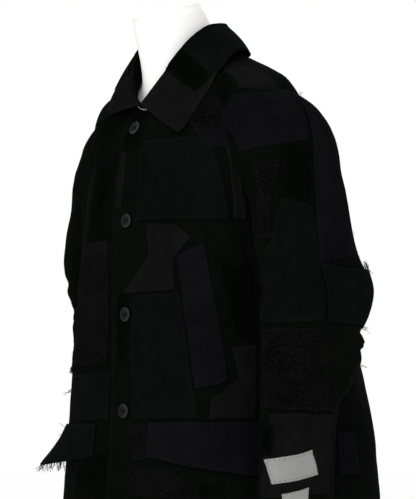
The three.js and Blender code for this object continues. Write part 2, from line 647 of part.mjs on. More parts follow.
function buildButtons() {
  const radius = BUTTON_DIAMETER / 2;
  const dish = BUTTON_THICKNESS - BUTTON_DISH;
  const rim = [[0, 0], [radius - BUTTON_ROUND, 0], [radius, BUTTON_THICKNESS / 2],
    [radius - BUTTON_ROUND, BUTTON_THICKNESS], [radius - BUTTON_RIM, dish], [0, dish]];
  const disc = new THREE.LatheGeometry(rim.map(([x, y]) => new THREE.Vector2(x, y)), 14);
  const pin = new THREE.CylinderGeometry(BUTTON_HOLE / 2, BUTTON_HOLE / 2, 3 * BUTTON_THICKNESS, 5);
  const shank = new THREE.CylinderGeometry(SHANK_RADIUS, SHANK_RADIUS, BUTTON_LIFT, 8)
    .translate(0, SEAM - BUTTON_LIFT / 2, 0);
  let button = toSolid(facingOut(disc));
  for (const [x, z] of [[1, 1], [1, -1], [-1, 1], [-1, -1]]) {
    const half = BUTTON_HOLE_SPACING / 2;
    button = button.subtract(toSolid(pin.clone().translate(x * half, 0, z * half)));
  }
  button = button.add(toSolid(shank));
  BUTTON_HEIGHTS.forEach((height, index) => {
    const level = levelAt(body, 0, height);
    const seat = skin(body, level, 0, BUTTON_LIFT);
    const normal = seat.clone().sub(skin(body, level, 0, 0)).normalize();
    const geometry = toGeometry(button);
    geometry.applyQuaternion(new THREE.Quaternion().setFromUnitVectors(new THREE.Vector3(0, 1, 0), normal));
    geometry.translate(seat.x, seat.y, seat.z);
    add(`button_${index + 1}`, geometry, BUTTON_GREY, 0.35);
  });
}

function buildForm() {
  const turns = steps(-180, 180 - 360 / FORM_COLUMNS, FORM_COLUMNS - 1);
  const torso = FORM_RINGS.map(({ z, a, b, y }) => turns.map((angle) => {
    const [across, along] = [Math.sin(toRadians(angle)), -Math.cos(toRadians(angle))];
    const reach = reachOf(across, along, a, b, FORM_SQUARENESS);
    return new THREE.Vector3(reach * across, y + reach * along, z);
  }));
  const inset = (level, angle) => CLOTH + FORM_CLEARANCE
    + FORM_FRONT_ROOM * Math.max(0, Math.cos(toRadians(angle))) + FORM_NECK_ROOM * Math.max(0, level - 11);
  const shoulders = FORM_SHOULDER_LEVELS.map((level) => turns.map((angle) => skin(body, level, angle,
    -inset(level, angle))));
  const neck = NECK_RINGS.map(({ t, a, front, back }) => turns.map((angle, column) => {
    const [across, along] = [Math.sin(toRadians(angle)), -Math.cos(toRadians(angle))];
    const root = shoulders[shoulders.length - 1][column];
    const top = NECK_CUT_MIDDLE + NECK_CUT_SLOPE * along;
    return new THREE.Vector3(a * across, (front + back) / 2 + along * (back - front) / 2, mix(root.z, top, t));
  }));
  add('dress_form', filled([...torso, ...shoulders, ...neck]), FORM_WHITE, 0.6);
}

function buildStand() {
  const [pole, base] = [POLE_DIAMETER / 2, BASE_DIAMETER / 2];
  const top = FORM_RINGS[0].z - SEAM;
  const profile = [[0, 0], [base - BASE_ROUND, 0], [base, BASE_ROUND], [base, BASE_HEIGHT - BASE_ROUND],
    [base - BASE_ROUND, BASE_HEIGHT], [pole + POLE_FILLET, BASE_HEIGHT], [pole, BASE_HEIGHT + POLE_FILLET],
    [pole, top], [0, top]];
  const lathe = new THREE.LatheGeometry(profile.map(([x, z]) => new THREE.Vector2(x, z)), 24);
  lathe.rotateX(Math.PI / 2);
  lathe.deleteAttribute('normal');
  lathe.deleteAttribute('uv');
  const bare = mergeVertices(lathe, 1e-4);
  add('stand', facingOut(bare), STAND_WHITE, 0.4);
}

buildBody();
buildSleeves();
buildPatches();
buildPockets();
buildFringes();
buildLabels();
buildCollar();
buildButtons();
buildForm();
buildStand();

export default coat;
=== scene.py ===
"""A patched black wool coat, worn closed on a white dress form with a pole and a round base.

Sizes are millimetres in the tables and metres in Blender, +Z up. The coat's front faces -Y and the
wearer's left side is +X. The origin is on the floor, at the middle of the stand's base.
"""

import math
import random

import bmesh
import bpy
import numpy as np
from mathutils import Matrix, Vector
from mathutils.bvhtree import BVHTree


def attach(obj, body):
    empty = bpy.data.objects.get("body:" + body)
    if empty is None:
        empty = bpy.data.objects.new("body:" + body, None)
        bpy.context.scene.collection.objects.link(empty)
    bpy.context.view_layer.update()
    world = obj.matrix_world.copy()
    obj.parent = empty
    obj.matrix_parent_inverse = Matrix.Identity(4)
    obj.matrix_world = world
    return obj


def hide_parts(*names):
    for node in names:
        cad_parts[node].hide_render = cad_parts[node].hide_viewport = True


bl_info = {
    "name": "Patched coat",
    "version": (1, 0, 0),
    "blender": (4, 5, 0),
    "location": "View3D > Sidebar > Coat",
    "description": "Builds a patched wool coat on a dress form",
    "category": "Add Mesh",
}

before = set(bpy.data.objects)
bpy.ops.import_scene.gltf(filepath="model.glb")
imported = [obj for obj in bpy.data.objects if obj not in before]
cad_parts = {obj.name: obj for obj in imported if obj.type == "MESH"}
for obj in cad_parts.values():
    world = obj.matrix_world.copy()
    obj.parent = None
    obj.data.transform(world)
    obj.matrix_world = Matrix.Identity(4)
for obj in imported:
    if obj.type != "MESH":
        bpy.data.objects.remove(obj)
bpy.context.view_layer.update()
MM = 0.001

# The coat's body in level sections from the hem to the neck seam: height, half width, half depth,
# middle of the depth, squareness, dip at the front and climb at the back
BODY = (
    (440, 286, 240, 86, 2.9, 0, 0),
    (600, 264, 226, 84, 3.2, 0, 0),
    (760, 247, 215, 83, 3.4, 0, 0),
    (890, 237, 207, 80, 3.4, 0, 0),
    (1000, 225, 198, 73, 3.2, 0, 0),
    (1120, 211, 183, 59, 3.0, 0, 0),
    (1220, 208, 168, 46, 2.8, 0, 0),
    (1310, 205, 150, 38, 2.5, 4, 0),
    (1370, 201, 137, 32, 2.45, 34, 2),
    (1410, 187, 120, 24, 2.45, 60, 6),
    (1434, 159, 107, 18, 2.35, 77, 10),
    (1452, 114, 91, 6, 2.3, 88, 16),
    (1464, 78, 80, -4, 2.0, 96, 22),
)
NECK_LEVEL = len(BODY) - 1

# A sleeve in sections from inside the shoulder to the cuff: middle, tilt, half thickness, half width
SLEEVE = (
    (118, 34, 1338, 84, 58, 86),
    (168, 34, 1329, 66, 70, 94),
    (210, 32, 1290, 42, 68, 96),
    (240, 31, 1215, 20, 55, 94),
    (260, 29, 1130, 8, 46, 102),
    (268, 43, 1058, 3, 45, 116),
    (274, 24, 980, 3, 43, 98),
    (282, -6, 890, 4, 41, 75),
    (288, -20, 800, 4, 39, 70),
    (292, -27, 720, 3, 39, 69),
)
CUFF_LEVEL = len(SLEEVE) - 1
SLEEVE_SQUARENESS = 2.3
RIGHT_SWING = 90
RIGHT_NARROW = 0.1
RIGHT_TUCK = 9

# Large folds of the body: angle, lean in degrees a metre, lowest and highest point, half width, depth
BODY_FOLDS = (
    (70, 60, 1090, 1330, 9, 8),
    (-70, -60, 1090, 1330, 9, 8),
    (122, 40, 860, 1300, 11, 12),
    (-122, -40, 860, 1300, 11, 12),
    (154, 10, 470, 1180, 11, 12),
    (-154, -10, 470, 1180, 11, 12),
    (40, -6, 400, 720, 11, 10),
    (-38, 6, 400, 720, 11, 10),
)
FOLD_FADE = 60
HEM_WAVES = 9
HEM_WAVE_DEPTH = 8
HEM_WAVE_TOP = 900
HEM_WAVE_FADE = 420
HEM_WAVE_TURN = 14

# Large folds of the sleeves: angle, slope, height, reach round the sleeve, half width, depth
SLEEVE_FOLDS = (
    (88, 0.5, 1000, 60, 9, 9),
    (70, 0.6, 965, 60, 8, 6),
    (-85, -0.4, 1050, 45, 12, 8),
    (-80, -0.3, 1095, 40, 10, 6),
    (-20, 0.3, 800, 55, 14, 4),
)

# Finer creases, as soft lines from (angle, height) to (angle, height): half width and depth.
# A negative depth is a ridge.
BODY_CREASES = (
    (66, 1300, 72, 1120, 7, 4.0),
    (60, 1230, 66, 1060, 6, 3.0),
    (52, 1160, 58, 1040, 8, 2.2),
    (12, 1330, 40, 1290, 9, 1.8),
    (28, 1010, 44, 1120, 9, 1.8),
    (10, 960, 30, 870, 12, 1.6),
    (22, 720, 28, 560, 12, 3.0),
    (60, 760, 66, 560, 12, 3.0),
    (-12, 1290, -30, 1170, 8, 1.8),
    (-44, 1330, -52, 900, 7, 3.4),
    (-48, 1330, -56, 900, 6, -2.6),
    (-30, 700, -34, 540, 12, 2.6),
    (-60, 1240, -66, 1060, 7, 3.0),
    (100, 1200, 112, 980, 10, 3.0),
    (-100, 1200, -112, 980, 10, 3.0),
    (135, 1360, 150, 1280, 10, 2.4),
    (-135, 1360, -150, 1280, 10, 2.4),
    (178, 1380, 176, 1200, 12, -1.6),
    (62, 1330, 64, 1150, 5, 3.2),
    (57, 1300, 60, 1120, 5, 2.4),
    (-24, 1250, -20, 1090, 6, 1.6),
    (30, 1290, 22, 1190, 14, 1.2),
    (8, 1040, 22, 900, 16, 1.4),
    (171, 1130, 164, 620, 20, 3.6),
    (-166, 1080, -172, 560, 22, 3.4),
    (140, 1250, 160, 1110, 12, 3.4),
    (-142, 1240, -160, 1120, 12, 3.0),
    (148, 900, 143, 500, 18, 4.0),
    (-150, 860, -146, 500, 18, 3.6),
    (128, 1010, 146, 940, 11, 2.6),
    (-126, 1030, -148, 950, 11, 2.6),
)
SLEEVE_CREASES = (
    (112, 1008, 55, 975, 6, 4.5),
    (110, 985, 50, 945, 6, 4.5),
    (104, 955, 60, 905, 7, 3.4),
    (60, 930, 20, 900, 8, 1.8),
    (-100, 1040, -55, 1015, 7, 3.0),
    (-104, 1075, -60, 1060, 7, 2.4),
    (-60, 1150, -20, 1120, 10, 1.6),
    (-20, 1270, 10, 1230, 12, 1.6),
    (60, 1280, 90, 1180, 12, 2.6),
    (-90, 1290, -70, 1200, 10, 2.6),
    (30, 800, 60, 730, 9, 1.8),
    (150, 1120, 200, 1080, 10, 4.0),
    (150, 1020, 200, 1000, 10, 4.0),
    (88, 1000, 84, 888, 44, -17),
    (96, 985, 62, 962, 5, 3.5),
    (94, 948, 60, 926, 5, 3.0),
    (-92, 1180, -84, 1110, 8, 2.6),
    (-70, 1330, -50, 1285, 9, 2.0),
    (-84, 1340, -66, 1290, 7, 2.2),
    (-30, 1180, 5, 1150, 11, 1.6),
)
BODY_RADIUS = 215               # turns an angle round the body into millimetres of cloth
SLEEVE_RADIUS = 62

# Collar from the centre back to the front end: angle at the neck seam, fold line, and the leaf's edge
# on the left and on the right side
COLLAR = (
    (180, (0, 70, 1524), (0, 106, 1462), (0, 106, 1462)),
    (138, (50, 47, 1521), (80, 78, 1468), (78, 76, 1468)),
    (88, (69, -8, 1508), (118, 15, 1465), (107, 13, 1471)),
    (58, (65, -46, 1480), (128, -26, 1434), (108, -32, 1447)),
    (38, (53, -72, 1443), (129, -56, 1391), (104, -64, 1417)),
    (20, (32, -87, 1408), (124, -86, 1347), (94, -86, 1389)),
    (3, (4, -95, 1378), (108, -107, 1315), (78, -101, 1366)),
)
COLLAR_COLUMNS = 12
COLLAR_ROLL = 3.4
COLLAR_GAP = 2.3
COLLAR_BULGE = 4
COLLAR_ROOM = 5.0

CLOTH = 2.5
SEAM = 0.3
WRAP = 36
SIDE_SEAM = 93
UNDERLAP_RAMP = 13
FLAP_FLARE = 68
FLAP_BACK = -62
FLAP_FRONT = -20
FLAP_DROOP = 4
BUTTON_HEIGHTS = (1334, 1180, 1026, 869)
BUTTON_LIFT = 1.5


def smooth(value, low, high):
    """0 below low, 1 above high, and soft between them."""
    t = np.clip((value - low) / (high - low), 0, 1)
    return t * t * (3 - 2 * t)


def mix(a, b, t):
    return a + (b - a) * t


def between(p0, p1, p2, p3, t):
    """Smooth value from p1 to p2, with slopes from their neighbours."""
    slope1, slope2 = (p2 - p0) / 2, (p3 - p1) / 2
    return ((2 * t**3 - 3 * t**2 + 1) * p1 + (t**3 - 2 * t**2 + t) * slope1
            + (3 * t**2 - 2 * t**3) * p2 + (t**3 - t**2) * slope2)


def through(values, place):
    """Smooth value through a list of numbers at fractional places in it."""
    values = np.asarray(values, float)
    last = len(values) - 1
    place = np.asarray(place, float)
    index = np.clip(np.floor(place).astype(int), 0, last - 1)
    return between(*(values[np.clip(index + k, 0, last)] for k in (-1, 0, 1, 2)), place - index)


def section(table, column, place):
    return through([row[column] for row in table], place)


def reach_of(across, along, a, b, squareness):
    """Distance from a section's middle to its rounded-square outline."""
    return 1 / (np.abs(across / a) ** squareness + np.abs(along / b) ** squareness) ** (1 / squareness)


def signed(angle):
    return (np.asarray(angle, float) + 180) % 360 - 180


def creases(table, angle, z, radius):
    """How far the creases of a table press the cloth in."""
    x = signed(angle) * math.pi / 180 * radius
    depth = np.zeros_like(x)
    for a0, z0, a1, z1, width, deep in table:
        x0 = a0 * math.pi / 180 * radius
        dx, dz = (a1 - a0) * math.pi / 180 * radius, z1 - z0
        length = math.hypot(dx, dz)
        along = ((x - x0) * dx + (z - z0) * dz) / length**2
        away = ((x - x0) * dz - (z - z0) * dx) / length / width
        ends = smooth(along, -0.12, 0.22) * (1 - smooth(along, 0.72, 1.12))
        depth += deep * np.exp(-away * away) * ends
    return depth


def crumple(points, size, seed):
    """Soft unevenness of worn cloth from -1 to 1, from waves in seeded directions."""
    rng = random.Random(seed)
    total = np.zeros(len(points))
    for _ in range(7):
        way = Vector([rng.gauss(0, 1) for _ in range(3)]).normalized()
        wave = 2 * math.pi / (size * rng.uniform(0.7, 1.6))
        total += np.sin(points @ np.array(way) * wave + rng.uniform(0, 6.3))
    return total / 4


def body_fold(angle, z):
    depth = np.zeros_like(z)
    for at, lean, low, high, width, deep in BODY_FOLDS:
        away = (angle - at - lean * (z - low) / 1000) / width
        starts = smooth(z, low - FOLD_FADE, low + FOLD_FADE)
        ends = 1 - smooth(z, high - FOLD_FADE, high + FOLD_FADE)
        depth -= deep * np.exp(-away * away) * (starts * ends)
    hem = 1 - smooth(z, HEM_WAVE_TOP - HEM_WAVE_FADE, HEM_WAVE_TOP)
    return depth + hem * HEM_WAVE_DEPTH * np.cos(np.radians(HEM_WAVES * (angle + HEM_WAVE_TURN)))


def body_point(level, angle):
    """Outer surface of the coat's body; angle is in degrees from the centre front to the wearer's left."""
    level, angle = np.broadcast_arrays(np.asarray(level, float), np.asarray(angle, float))
    across, along = np.sin(np.radians(angle)), -np.cos(np.radians(angle))
    front, behind = ((1 - along) / 2) ** 3, ((1 + along) / 2) ** 2
    z = section(BODY, 0, level) - section(BODY, 5, level) * front + section(BODY, 6, level) * behind
    half_width, half_depth, squareness = (section(BODY, column, level) for column in (1, 2, 4))
    radius = reach_of(across, along, half_width, half_depth, squareness)
    radius = radius + body_fold(signed(angle), z)
    return np.stack([radius * across, section(BODY, 3, level) + radius * along, z], -1)


def sleeve_fold(angle, z):
    depth = np.zeros_like(z)
    for at, slope, height, reach, width, deep in SLEEVE_FOLDS:
        turn = signed(angle - at)
        away = (z - height - slope * turn) / width
        depth -= deep * np.exp(-away * away) * np.exp(-((turn / reach) ** 2))
    return depth


def sleeve_point(side, level, angle):
    """Outer surface of a sleeve; angle 0 is outside, 90 behind and -90 in front."""
    level, angle = np.broadcast_arrays(np.asarray(level, float), np.asarray(angle, float))
    tilt = np.radians(section(SLEEVE, 3, level))
    outward, backward = np.cos(np.radians(angle)), np.sin(np.radians(angle))
    z = section(SLEEVE, 2, level)
    thick, wide = section(SLEEVE, 4, level), section(SLEEVE, 5, level)
    reach = reach_of(outward, backward, thick, wide, SLEEVE_SQUARENESS)
    reach = reach + sleeve_fold(angle, z)
    right = 1 if side < 0 else 0
    swing = right * RIGHT_SWING * smooth(level, 2, 9)
    tuck = right * RIGHT_TUCK * (1 - smooth(level, 2.6, 4))
    return np.stack([
        side * (section(SLEEVE, 0, level) - tuck + reach * outward * np.cos(tilt)),
        section(SLEEVE, 1, level) + reach * backward * (1 - right * RIGHT_NARROW) + swing,
        z + reach * outward * np.sin(tilt)], -1)


class Form:
    """A surface that cloth lies on: its point function, which way it turns, and its creases."""

    def __init__(self, point, turn, low, high, table, radius, seed):
        self.point, self.turn, self.low, self.high = point, turn, low, high
        self.table, self.radius, self.seed = table, radius, seed

    def skin(self, level, angle, lift):
        """Points of the creased cloth, lifted off the surface along its normal."""
        level, angle = np.broadcast_arrays(np.asarray(level, float), np.asarray(angle, float))
        here = self.point(level, angle)
        up = self.point(level + 0.02, angle) - self.point(level - 0.02, angle)
        around = self.point(level, angle + 0.5) - self.point(level, angle - 0.5)
        normal = np.cross(around, up) * self.turn
        normal /= np.linalg.norm(normal, axis=-1, keepdims=True)
        press = creases(self.table, angle, here[..., 2], self.radius)
        for deep, size, seed in ((1.1, 95, self.seed), (0.5, 38, self.seed + 1)):
            press = press - deep * crumple(here, size, seed)
        return here + normal * (np.asarray(lift) - press)[..., None]

    def level_at(self, angle, z):
        """Levels at which the surface passes given heights."""
        low, high = np.full_like(z, self.low), np.full_like(z, self.high)
        for _ in range(18):
            middle = (low + high) / 2
            under = self.point(middle, angle)[..., 2] < z
            low, high = np.where(under, middle, low), np.where(under, high, middle)
        return (low + high) / 2


body = Form(body_point, 1, 0.0, float(NECK_LEVEL), BODY_CREASES, BODY_RADIUS, 3)
sleeve_left = Form(lambda level, angle: sleeve_point(1, level, angle), -1, float(CUFF_LEVEL), 0.0,
                   SLEEVE_CREASES, SLEEVE_RADIUS, 5)
sleeve_right = Form(lambda level, angle: sleeve_point(-1, level, angle), 1, float(CUFF_LEVEL), 0.0,
                    SLEEVE_CREASES, SLEEVE_RADIUS, 8)


def angle_at_width(level, width):
    """Angle at which the body is a distance to the side of the centre front."""
    low, high = np.full_like(level, -40), np.full_like(level, 40)
    for _ in range(22):
        middle = (low + high) / 2
        short = body_point(level, middle)[..., 0] < width
        low, high = np.where(short, middle, low), np.where(short, high, middle)
    return (low + high) / 2


def underlap(level, angle):
    """The right front sinks behind the left one near the centre front."""
    edge = angle_at_width(level, -WRAP)
    return (CLOTH + SEAM) * smooth(angle, edge - UNDERLAP_RAMP, edge)


def flat(level, _angle):
    """No sinking anywhere."""
    return np.zeros_like(level)


def level_by_length(form, angle, count=400):
    """Turns an even share of the cloth's length, from the form's low end, into a level."""
    levels = np.linspace(form.low, form.high, count)
    points = form.point(levels, np.full(count, float(angle)))
    gone = np.concatenate([[0], np.cumsum(np.linalg.norm(np.diff(points, axis=0), axis=1))])
    return lambda share: np.interp(share, gone / gone[-1], levels)


def row_at(rows, v):
    """The row of a table at shares v of the way from its first to its last."""
    place = v * (len(rows) - 1)
    index = np.clip(np.floor(place).astype(int), 0, len(rows) - 2)
    return mix(rows[index], rows[index + 1], (place - index)[..., None])


class Rows:
    """A piece of cloth on a form, through rows from the bottom up, each from (angle, height) to
    (angle, height). wobble is how far its cut edge wanders, in millimetres."""

    def __init__(self, form, rows, sink=flat, rise=None, wobble=1.0, seed=1):
        self.form, self.rows, self.sink = form, np.array(rows, float), sink
        self.rise, self.wobble, self.seed = rise, wobble, seed

    def spot(self, u, v):
        """Angle and height of a place on the piece."""
        row = row_at(self.rows, v)
        rng = random.Random(self.seed)
        turns = [rng.uniform(0, 6.3) for _ in range(8)]

        def edge(share, first):
            waves = ((3.1, 1.0), (7.3, 0.7), (17.0, 0.5), (41.0, 0.35))
            return sum(size * np.sin(share * pace * 2 + turns[first + k])
                       for k, (pace, size) in enumerate(waves)) * self.wobble / 1.6

        near_side, near_end = (2 * u - 1) ** 9, (2 * v - 1) ** 9
        angle = mix(row[..., 0], row[..., 2], u)
        z = mix(row[..., 1], row[..., 3], u) + near_end * edge(u, 4)
        return angle + near_side * edge(v, 0) / self.form.radius * 180 / math.pi, z

    def place(self, u, v, lift):
        angle, z = self.spot(u, v)
        level = self.form.level_at(angle, z)
        up = lift - self.sink(level, angle)
        if self.rise:
            up = up + self.rise(u, v)
        return self.form.skin(level, angle, up)


class Panel:
    """A whole front or back: edges gives the angles of its two sides at a level."""

    def __init__(self, edges, sink=flat):
        self.form, self.edges, self.sink = body, edges, sink
        self.level = level_by_length(body, 50)

    def place(self, u, v, lift):
        level = self.level(v)
        first, last = self.edges(level)
        angle = mix(first, last, u)
        return self.form.skin(level, angle, lift - self.sink(level, angle))


class Tube:
    """A whole sleeve, from its shoulder end down to the cuff."""

    def __init__(self, form):
        self.form = form
        self.level = level_by_length(form, 0)

    def place(self, u, v, lift):
        return self.form.skin(self.level(v), 180 - 360 * u, np.broadcast_to(lift, u.shape))


def clear_of_body(point, room):
    """Moves a point that is too near the coat's outside out to a given room from it."""
    level, angle = np.array([float(NECK_LEVEL)]), np.zeros(1)
    for _ in range(4):
        middle = section(BODY, 3, level)
        angle = np.degrees(np.arctan2(point[0], middle - point[1]))
        level = body.level_at(angle, np.array([point[2]]))
    here = body.skin(level, angle, np.array([room]))[0]
    middle = float(section(BODY, 3, level)[0])
    near = math.hypot(point[0], point[1] - middle) < math.hypot(here[0], here[1] - middle)
    return here if near else point


def collar_column(side, place):
    """Middle of the collar's cloth: up the stand, over the fold and down the leaf."""
    edge_column = 2 if side > 0 else 3
    fold, edge = (np.array([float(through([row[k][axis] for row in COLLAR], place)) for axis in range(3)])
                  for k in (1, edge_column))
    angle = float(section(COLLAR, 0, place))
    seam = body.point(np.array(float(NECK_LEVEL)), np.array(angle))
    below = body.point(np.array(NECK_LEVEL - 0.2), np.array(angle))
    foot = seam + (seam - below) / np.linalg.norm(seam - below) * COLLAR_GAP
    out = np.array([fold[0], fold[1] - BODY[-1][3], 0.0])
    out /= np.linalg.norm(out)

    def rolled(sideways, down):
        return fold + out * sideways * COLLAR_ROLL - np.array([0, 0, down * COLLAR_ROLL])

    inner, outer = rolled(-1, 1), rolled(1, 1)
    leaf = [mix(outer, edge, t) + out * COLLAR_BULGE * math.sin(math.pi * t) for t in (0.25, 0.5, 0.75, 1)]
    fold_points = [rolled(-0.7, 0.25), rolled(0, 0), rolled(0.7, 0.25)]
    points = [foot, mix(foot, inner, 0.5), inner, *fold_points, outer]
    points += [clear_of_body(p, COLLAR_ROOM) for p in leaf]
    return np.array(points) * np.array([side, 1, 1])


class Collar:
    """The collar: u runs from its right end round the neck to its left end, v from its foot over the
    fold to the leaf's edge."""

    def __init__(self):
        last = len(COLLAR) - 1
        right = [collar_column(-1, place) for place in np.linspace(last, 0, COLLAR_COLUMNS + 1)[:-1]]
        left = [collar_column(1, place) for place in np.linspace(0, last, COLLAR_COLUMNS + 1)]
        self.net = np.array(right + left)

    def middle(self, u, v):
        columns, rows = self.net.shape[0] - 1, self.net.shape[1] - 1
        across = np.stack([np.stack([through(self.net[:, r, axis], u * columns) for axis in range(3)], -1)
                           for r in range(rows + 1)], 1)
        place = v * rows
        index = np.clip(np.floor(place).astype(int), 0, rows - 1)
        pick = np.arange(len(u))
        return between(*(across[pick, np.clip(index + k, 0, rows)] for k in (-1, 0, 1, 2)),
                       (place - index)[:, None])

    def place(self, u, v, lift):
        step = 0.004
        here = self.middle(u, v)
        around = self.middle(np.clip(u + step, 0, 1), v) - self.middle(np.clip(u - step, 0, 1), v)
        along = self.middle(u, np.clip(v + step, 0, 1)) - self.middle(u, np.clip(v - step, 0, 1))
        normal = np.cross(around, along)
        normal /= np.linalg.norm(normal, axis=-1, keepdims=True)
        return here + normal * (lift + 1.2 + 0.7 * crumple(here, 60, 21))[:, None]


class CollarPatch:
    """A patch on the collar through rows of (u, v) to (u, v), from the fold down to the edge."""

    def __init__(self, collar, rows):
        self.collar, self.rows = collar, np.array(rows, float)

    def place(self, u, v, lift):
        row = row_at(self.rows, v)
        return self.collar.place(mix(row[..., 0], row[..., 2], u), mix(row[..., 1], row[..., 3], u), lift)


def linear(code):
    """Turns an sRGB hex colour into linear red, green, blue and alpha."""
    channels = [int(code[k:k + 2], 16) / 255 for k in (1, 3, 5)]
    return tuple(c / 12.92 if c <= 0.04045 else ((c + 0.055) / 1.055) ** 2.4 for c in channels) + (1.0,)


def tone(colour, share=1.0):
    """A colour of the property group as four numbers, lighter or darker by a share."""
    return tuple(min(1.0, c * share) for c in colour) + (1.0,)


def finish_mesh(name, bm, material, nodes=()):
    """Turns a bmesh into a finished piece that rides on the coat."""
    mesh = bpy.data.meshes.new(name)
    bm.to_mesh(mesh)
    bm.free()
    mesh.polygons.foreach_set("use_smooth", [True] * len(mesh.polygons))
    piece = bpy.data.objects.new(name, mesh)
    bpy.context.collection.objects.link(piece)
    mesh.materials.append(material)
    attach(piece, "root")
    if nodes:
        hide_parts(*nodes)
    return piece


WEAR_WIDTH = 0.006              # how far in from a cut edge the wear shows
MERGE = 0.0002


def cloth_piece(name, surface, columns, rows, material, nodes=(), lift=0.0, thick=2.2, tube=False,
                keep=None, nap=0.0):
    """A thin shell of cloth on a surface, with its UV map in metres and its wear at the cut edges."""
    bm = bmesh.new()
    bmesh.ops.create_grid(bm, x_segments=columns, y_segments=rows, size=0.5)
    bm.verts.index_update()
    flat_places = np.array([v.co[:2] for v in bm.verts]) + 0.5
    u, v = np.clip(flat_places[:, 0], 0, 1), np.clip(flat_places[:, 1], 0, 1)
    points = surface.place(u, v, np.full(len(u), float(lift)))
    if nap:
        beyond = surface.place(u, v, np.full(len(u), lift + 1.0))
        rng = np.random.default_rng(len(name))
        inside = np.minimum(1, 12 * np.minimum(np.minimum(u, 1 - u), np.minimum(v, 1 - v)))
        curls = nap * (0.5 * np.abs(crumple(points, 9, 31)) + rng.uniform(0, 0.5, len(u)))
        points = points + (beyond - points) * (curls * (0.3 + 0.7 * inside))[:, None]
    width = cloth_length(surface, (0.0, 1.0), (0.5, 0.5)) * MM
    height = cloth_length(surface, (0.5, 0.5), (0.0, 1.0)) * MM
    edge = np.minimum(np.minimum(u, 1 - u) * width, np.minimum(v, 1 - v) * height)
    if tube:
        edge = v * height
    uv_layer = bm.loops.layers.uv.new("cloth")
    wear_layer = bm.verts.layers.float.new("wear")
    for vert, point, near in zip(bm.verts, points * MM, edge):
        vert.co = point
        vert[wear_layer] = max(0.0, 1 - near / WEAR_WIDTH)
    for face in bm.faces:
        for loop in face.loops:
            k = loop.vert.index
            loop[uv_layer].uv = (u[k] * width, v[k] * height)
    if keep:
        gone = [vert for vert in bm.verts if not keep(vert.co)]
        bmesh.ops.delete(bm, geom=gone, context="VERTS")
    if tube:
        bmesh.ops.remove_doubles(bm, verts=bm.verts, dist=MERGE)
    area = sum(face.calc_area() for face in bm.faces)
    bm.normal_update()
    centre = np.array([0.5])
    low, high = (surface.place(centre, centre, np.array([up]))[0] for up in (lift, lift + 1.0))
    middle = min(bm.faces, key=lambda face: (face.calc_center_median() - Vector(low * MM)).length)
    if middle.normal.dot(Vector(high - low)) < 0:
        bmesh.ops.reverse_faces(bm, faces=bm.faces)
    piece = finish_mesh(name, bm, material, nodes)
    wall = piece.modifiers.new("thickness", "SOLIDIFY")
    wall.thickness = thick * MM
    wall.offset = -1.0
    return piece


def cloth_length(surface, us, vs, count=60):
    """Length of a line across a surface, in millimetres."""
    u, v = np.linspace(*us, count), np.linspace(*vs, count)
    points = surface.place(u, v, np.zeros(count))
    return float(np.linalg.norm(np.diff(points, axis=0), axis=1).sum())


# Materials

def new_material(name):
    material = bpy.data.materials.new(name)
    material.use_nodes = True
    tree = material.node_tree
    tree.nodes.clear()
    return material, tree


def node(tree, kind, links=(), values=(), **settings):
    """Adds a shader node. Links are pairs of an input's name or number and the output that feeds it,
    values are pairs of an input's number and its value, and settings are the node's properties, or
    its inputs by name with underscores for spaces."""
    made = tree.nodes.new("ShaderNode" + kind)
    for key, value in settings.items():
        label = key.replace("_", " ")
        if hasattr(made, key):
            setattr(made, key, value)
        else:
            made.inputs[label if label in made.inputs else label.title()].default_value = value
    for target, value in values:
        made.inputs[target].default_value = value
    for target, source in links:
        tree.links.new(source, made.inputs[target])
    return made


CLOUD_SCALE = 9.0               # faded clouds, to the metre
STAIN_SCALE = 48.0              # stains between them
STAIN_SHARE = 0.8
LINT_MM = 2.2
LINT_SHARE = 0.35
EDGE_LIGHT = 0.22               # how much of the lint's colour a worn edge takes


